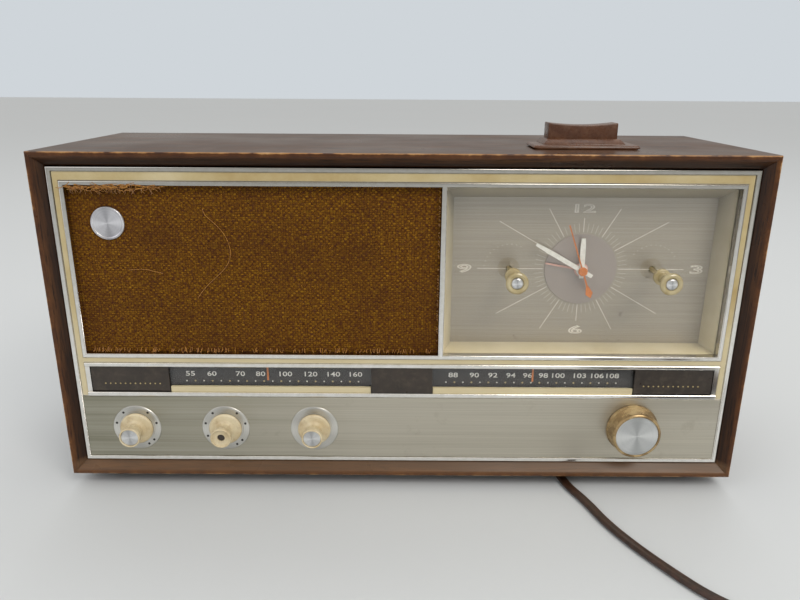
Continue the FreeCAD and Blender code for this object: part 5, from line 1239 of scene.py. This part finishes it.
softened("clock_face", "clock_dial", champagneDial(), 0.12, steps=2)
softened("clock_surround", "clock_shroud", shroudFinish(), 0.3, steps=2)
softened("clock_window", "clock_crystal", finishes["clear_lens"], 0.2, steps=2)
for node in ("hour_hand", "minute_hand", "alarm_hand", "second_hand"):
    softened(node + "_blade", node, finishes[slotOf[node]], 0.1, steps=2)


post = {"tip": -10, "collar": 7.7, "neck": 3.1, "shaft": 1.6}


def makePostKnob(node, x):
    # A flared post with a turned metal button set in its end.
    tip, collar, neck, shaft = post["tip"], post["collar"], post["neck"], post["shaft"]
    rear = discOf(node)[2]
    outline = [(0, tip + 1.1), (3.5, tip + 1.1), (3.8, tip + 0.3), (5.2, tip), (6.1, tip + 0.6), (6.4, tip + 1.3),
               (6.3, tip + 2.4)]
    for i in range(1, 9):
        t = i / 8
        outline.append((neck + 3.1 * (1 - t) ** 1.9, tip + 2.4 + (collar - 3.2 - tip - 2.4) * t))
    outline += [(3.3, collar - 2.7), (4.2, collar - 2.55), (4.8, collar - 2), (4.8, collar), (shaft, collar),
                (shaft, rear), (0, rear)]
    # clear styrene gone cream: light sinks a little way in
    amber = grained("yellowed_clear_styrene", 6.6, [(0.35, "#b9a673"), (0.65, "#d9cba2")], (0.05, 0.3),
                    {"Detail": 5.0}, surface={"Roughness": 0.18, "IOR": 1.58, "Transmission Weight": 0.35})
    settle(node + "_post", lathe(eased(outline, 0.2), x, clock["z"], 72), bodyOf[node], amber, [node])
    button = eased([(0, tip), (2.4, tip), (3.2, tip + 0.5), (3.45, tip + 1.25), (0, tip + 1.25)], 0.2)
    finish = spunMetal(node + "_button", at(x, 0, clock["z"]), "#a1a1a1", "#ececec", 0.25)
    settle(node + "_cap", lathe(button, x, clock["z"], 48), bodyOf[node], finish, slotName="bright_plating")


for node, x in clock["posts"]:
    makePostKnob(node, x)
print("clock made")


# The plate and the collar on it are as wide and as deep as given. Heights count from the case's top.
snooze = {"x": 106.1, "set": 47, "plateWide": 62, "plateNear": -18.9, "plateFar": 7.5, "plateHigh": 2.3,
          "collarLow": (49, 21), "collarTop": (43.5, 17), "collarHigh": 5.3,
          "barWide": 41, "barDeep": 13, "barFrom": 3.1, "barHigh": 14.3, "sag": 1.4, "barSteps": 24,
          "stem": 3, "stemTop": 3.2}


def stackedRings(rings):
    # A solid whose level sections are four-cornered rings: (half across, near, far, height).
    work = bmesh.new()
    made = [[work.verts.new(at(snooze["x"] + sx * half, snooze["set"] + (far if back else near), height))
             for sx, back in ((-1, 0), (1, 0), (1, 1), (-1, 1))] for half, near, far, height in rings]
    work.faces.new(list(reversed(made[0])))
    work.faces.new(made[-1])
    for low, high in zip(made, made[1:]):
        bridge(work, high, low)
    roundEdges(work, list(work.edges), 0.45)
    bmesh.ops.recalc_face_normals(work, faces=work.faces)
    return meshOf(work, "rings")


def makeSnooze():
    top = (caseTop - woodZ) / mm
    half, near, far = snooze["plateWide"] / 2, snooze["plateNear"], snooze["plateFar"]
    base = stackedRings([(half - 2.5, near + 0.1, far, top), (half, near, far, top + 0.9),
                         (half - 1.2, near + 0.7, far - 1, top + snooze["plateHigh"])])
    (lowWide, lowDeep), (topWide, topDeep) = snooze["collarLow"], snooze["collarTop"]
    collar = stackedRings([(lowWide / 2, -lowDeep / 2 - 2, lowDeep / 2, top + 0.2),
                           (lowWide / 2 - 0.4, -lowDeep / 2 - 1.6, lowDeep / 2, top + 2.6),
                           (topWide / 2, -topDeep / 2, topDeep / 2, top + snooze["collarHigh"])])
    settle("snooze_plate", oneMesh("snooze_plate", [base, collar]), "cabinet", finishes["russet_plastic"],
           ["snooze_escutcheon"])

    # the rocker's top is hollowed for a finger
    work = bmesh.new()
    half, deep, foot = snooze["barWide"] / 2, snooze["barDeep"] / 2, top + snooze["barFrom"]
    rows = []
    for i in range(snooze["barSteps"] + 1):
        t = -1 + 2 * i / snooze["barSteps"]
        crest = top + snooze["barHigh"] - snooze["sag"] * (1 - t * t)
        rows.append([work.verts.new(at(snooze["x"] + half * t, snooze["set"] + y, z)) for y, z in
                     ((-deep, foot), (-deep + 0.2, crest), (deep - 0.2, crest), (deep, foot))])
    for left, right in zip(rows, rows[1:]):
        bridge(work, right, left)
    work.faces.new(list(reversed(rows[0])))
    work.faces.new(rows[-1])
    bmesh.ops.recalc_face_normals(work, faces=work.faces)
    roundEdges(work, [e for e in work.edges if e.calc_face_angle(0) > math.radians(60)], 0.5)
    bar = meshOf(work, "bar")

    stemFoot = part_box("snooze_bar")[0].z
    length = caseTop + snooze["stemTop"] * mm - stemFoot
    work = bmesh.new()
    centre = Vector((snooze["x"] * mm, frontY + snooze["set"] * mm, stemFoot + length / 2))
    bmesh.ops.create_cone(work, cap_ends=True, segments=32, radius1=snooze["stem"] * mm,
                          radius2=snooze["stem"] * mm, depth=length, matrix=Matrix.Translation(centre))
    settle("snooze_rocker", oneMesh("snooze_rocker", [bar, meshOf(work, "stem")]), "snooze",
           finishes["russet_plastic"], ["snooze_bar"])


makeSnooze()


def onPlugBody(edge):
    # The plug's moulding, without its blades.
    return all(v.co.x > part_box("power_plug")[0].x + 17 * mm for v in edge.verts)


softened("back_board", "back_cover", finishes["fibreboard"], 0.35, steps=2)
softened("aerial_strip", "antenna_terminals", finishes["phenolic"], 0.25)
softened("cord_gland", "strain_relief", finishes["brown_rubber"], 0.3)
plugPiece = softened("plug_body", "power_plug", finishes["brown_rubber"], 0.8, onPlugBody)
for node in ("time_set_knob", "alarm_set_knob"):
    softened(node + "_grip", node, finishes[slotOf[node]], 0.25, steps=2)
print("back and plug made")

onTable(*cordRoute[0])

bpy.context.scene.view_settings.view_transform = "Standard"
boxes = {"cad": cadBox, "visual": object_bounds()}
{key: [list(map(float, corner)) for corner in box] for key, box in boxes.items()}
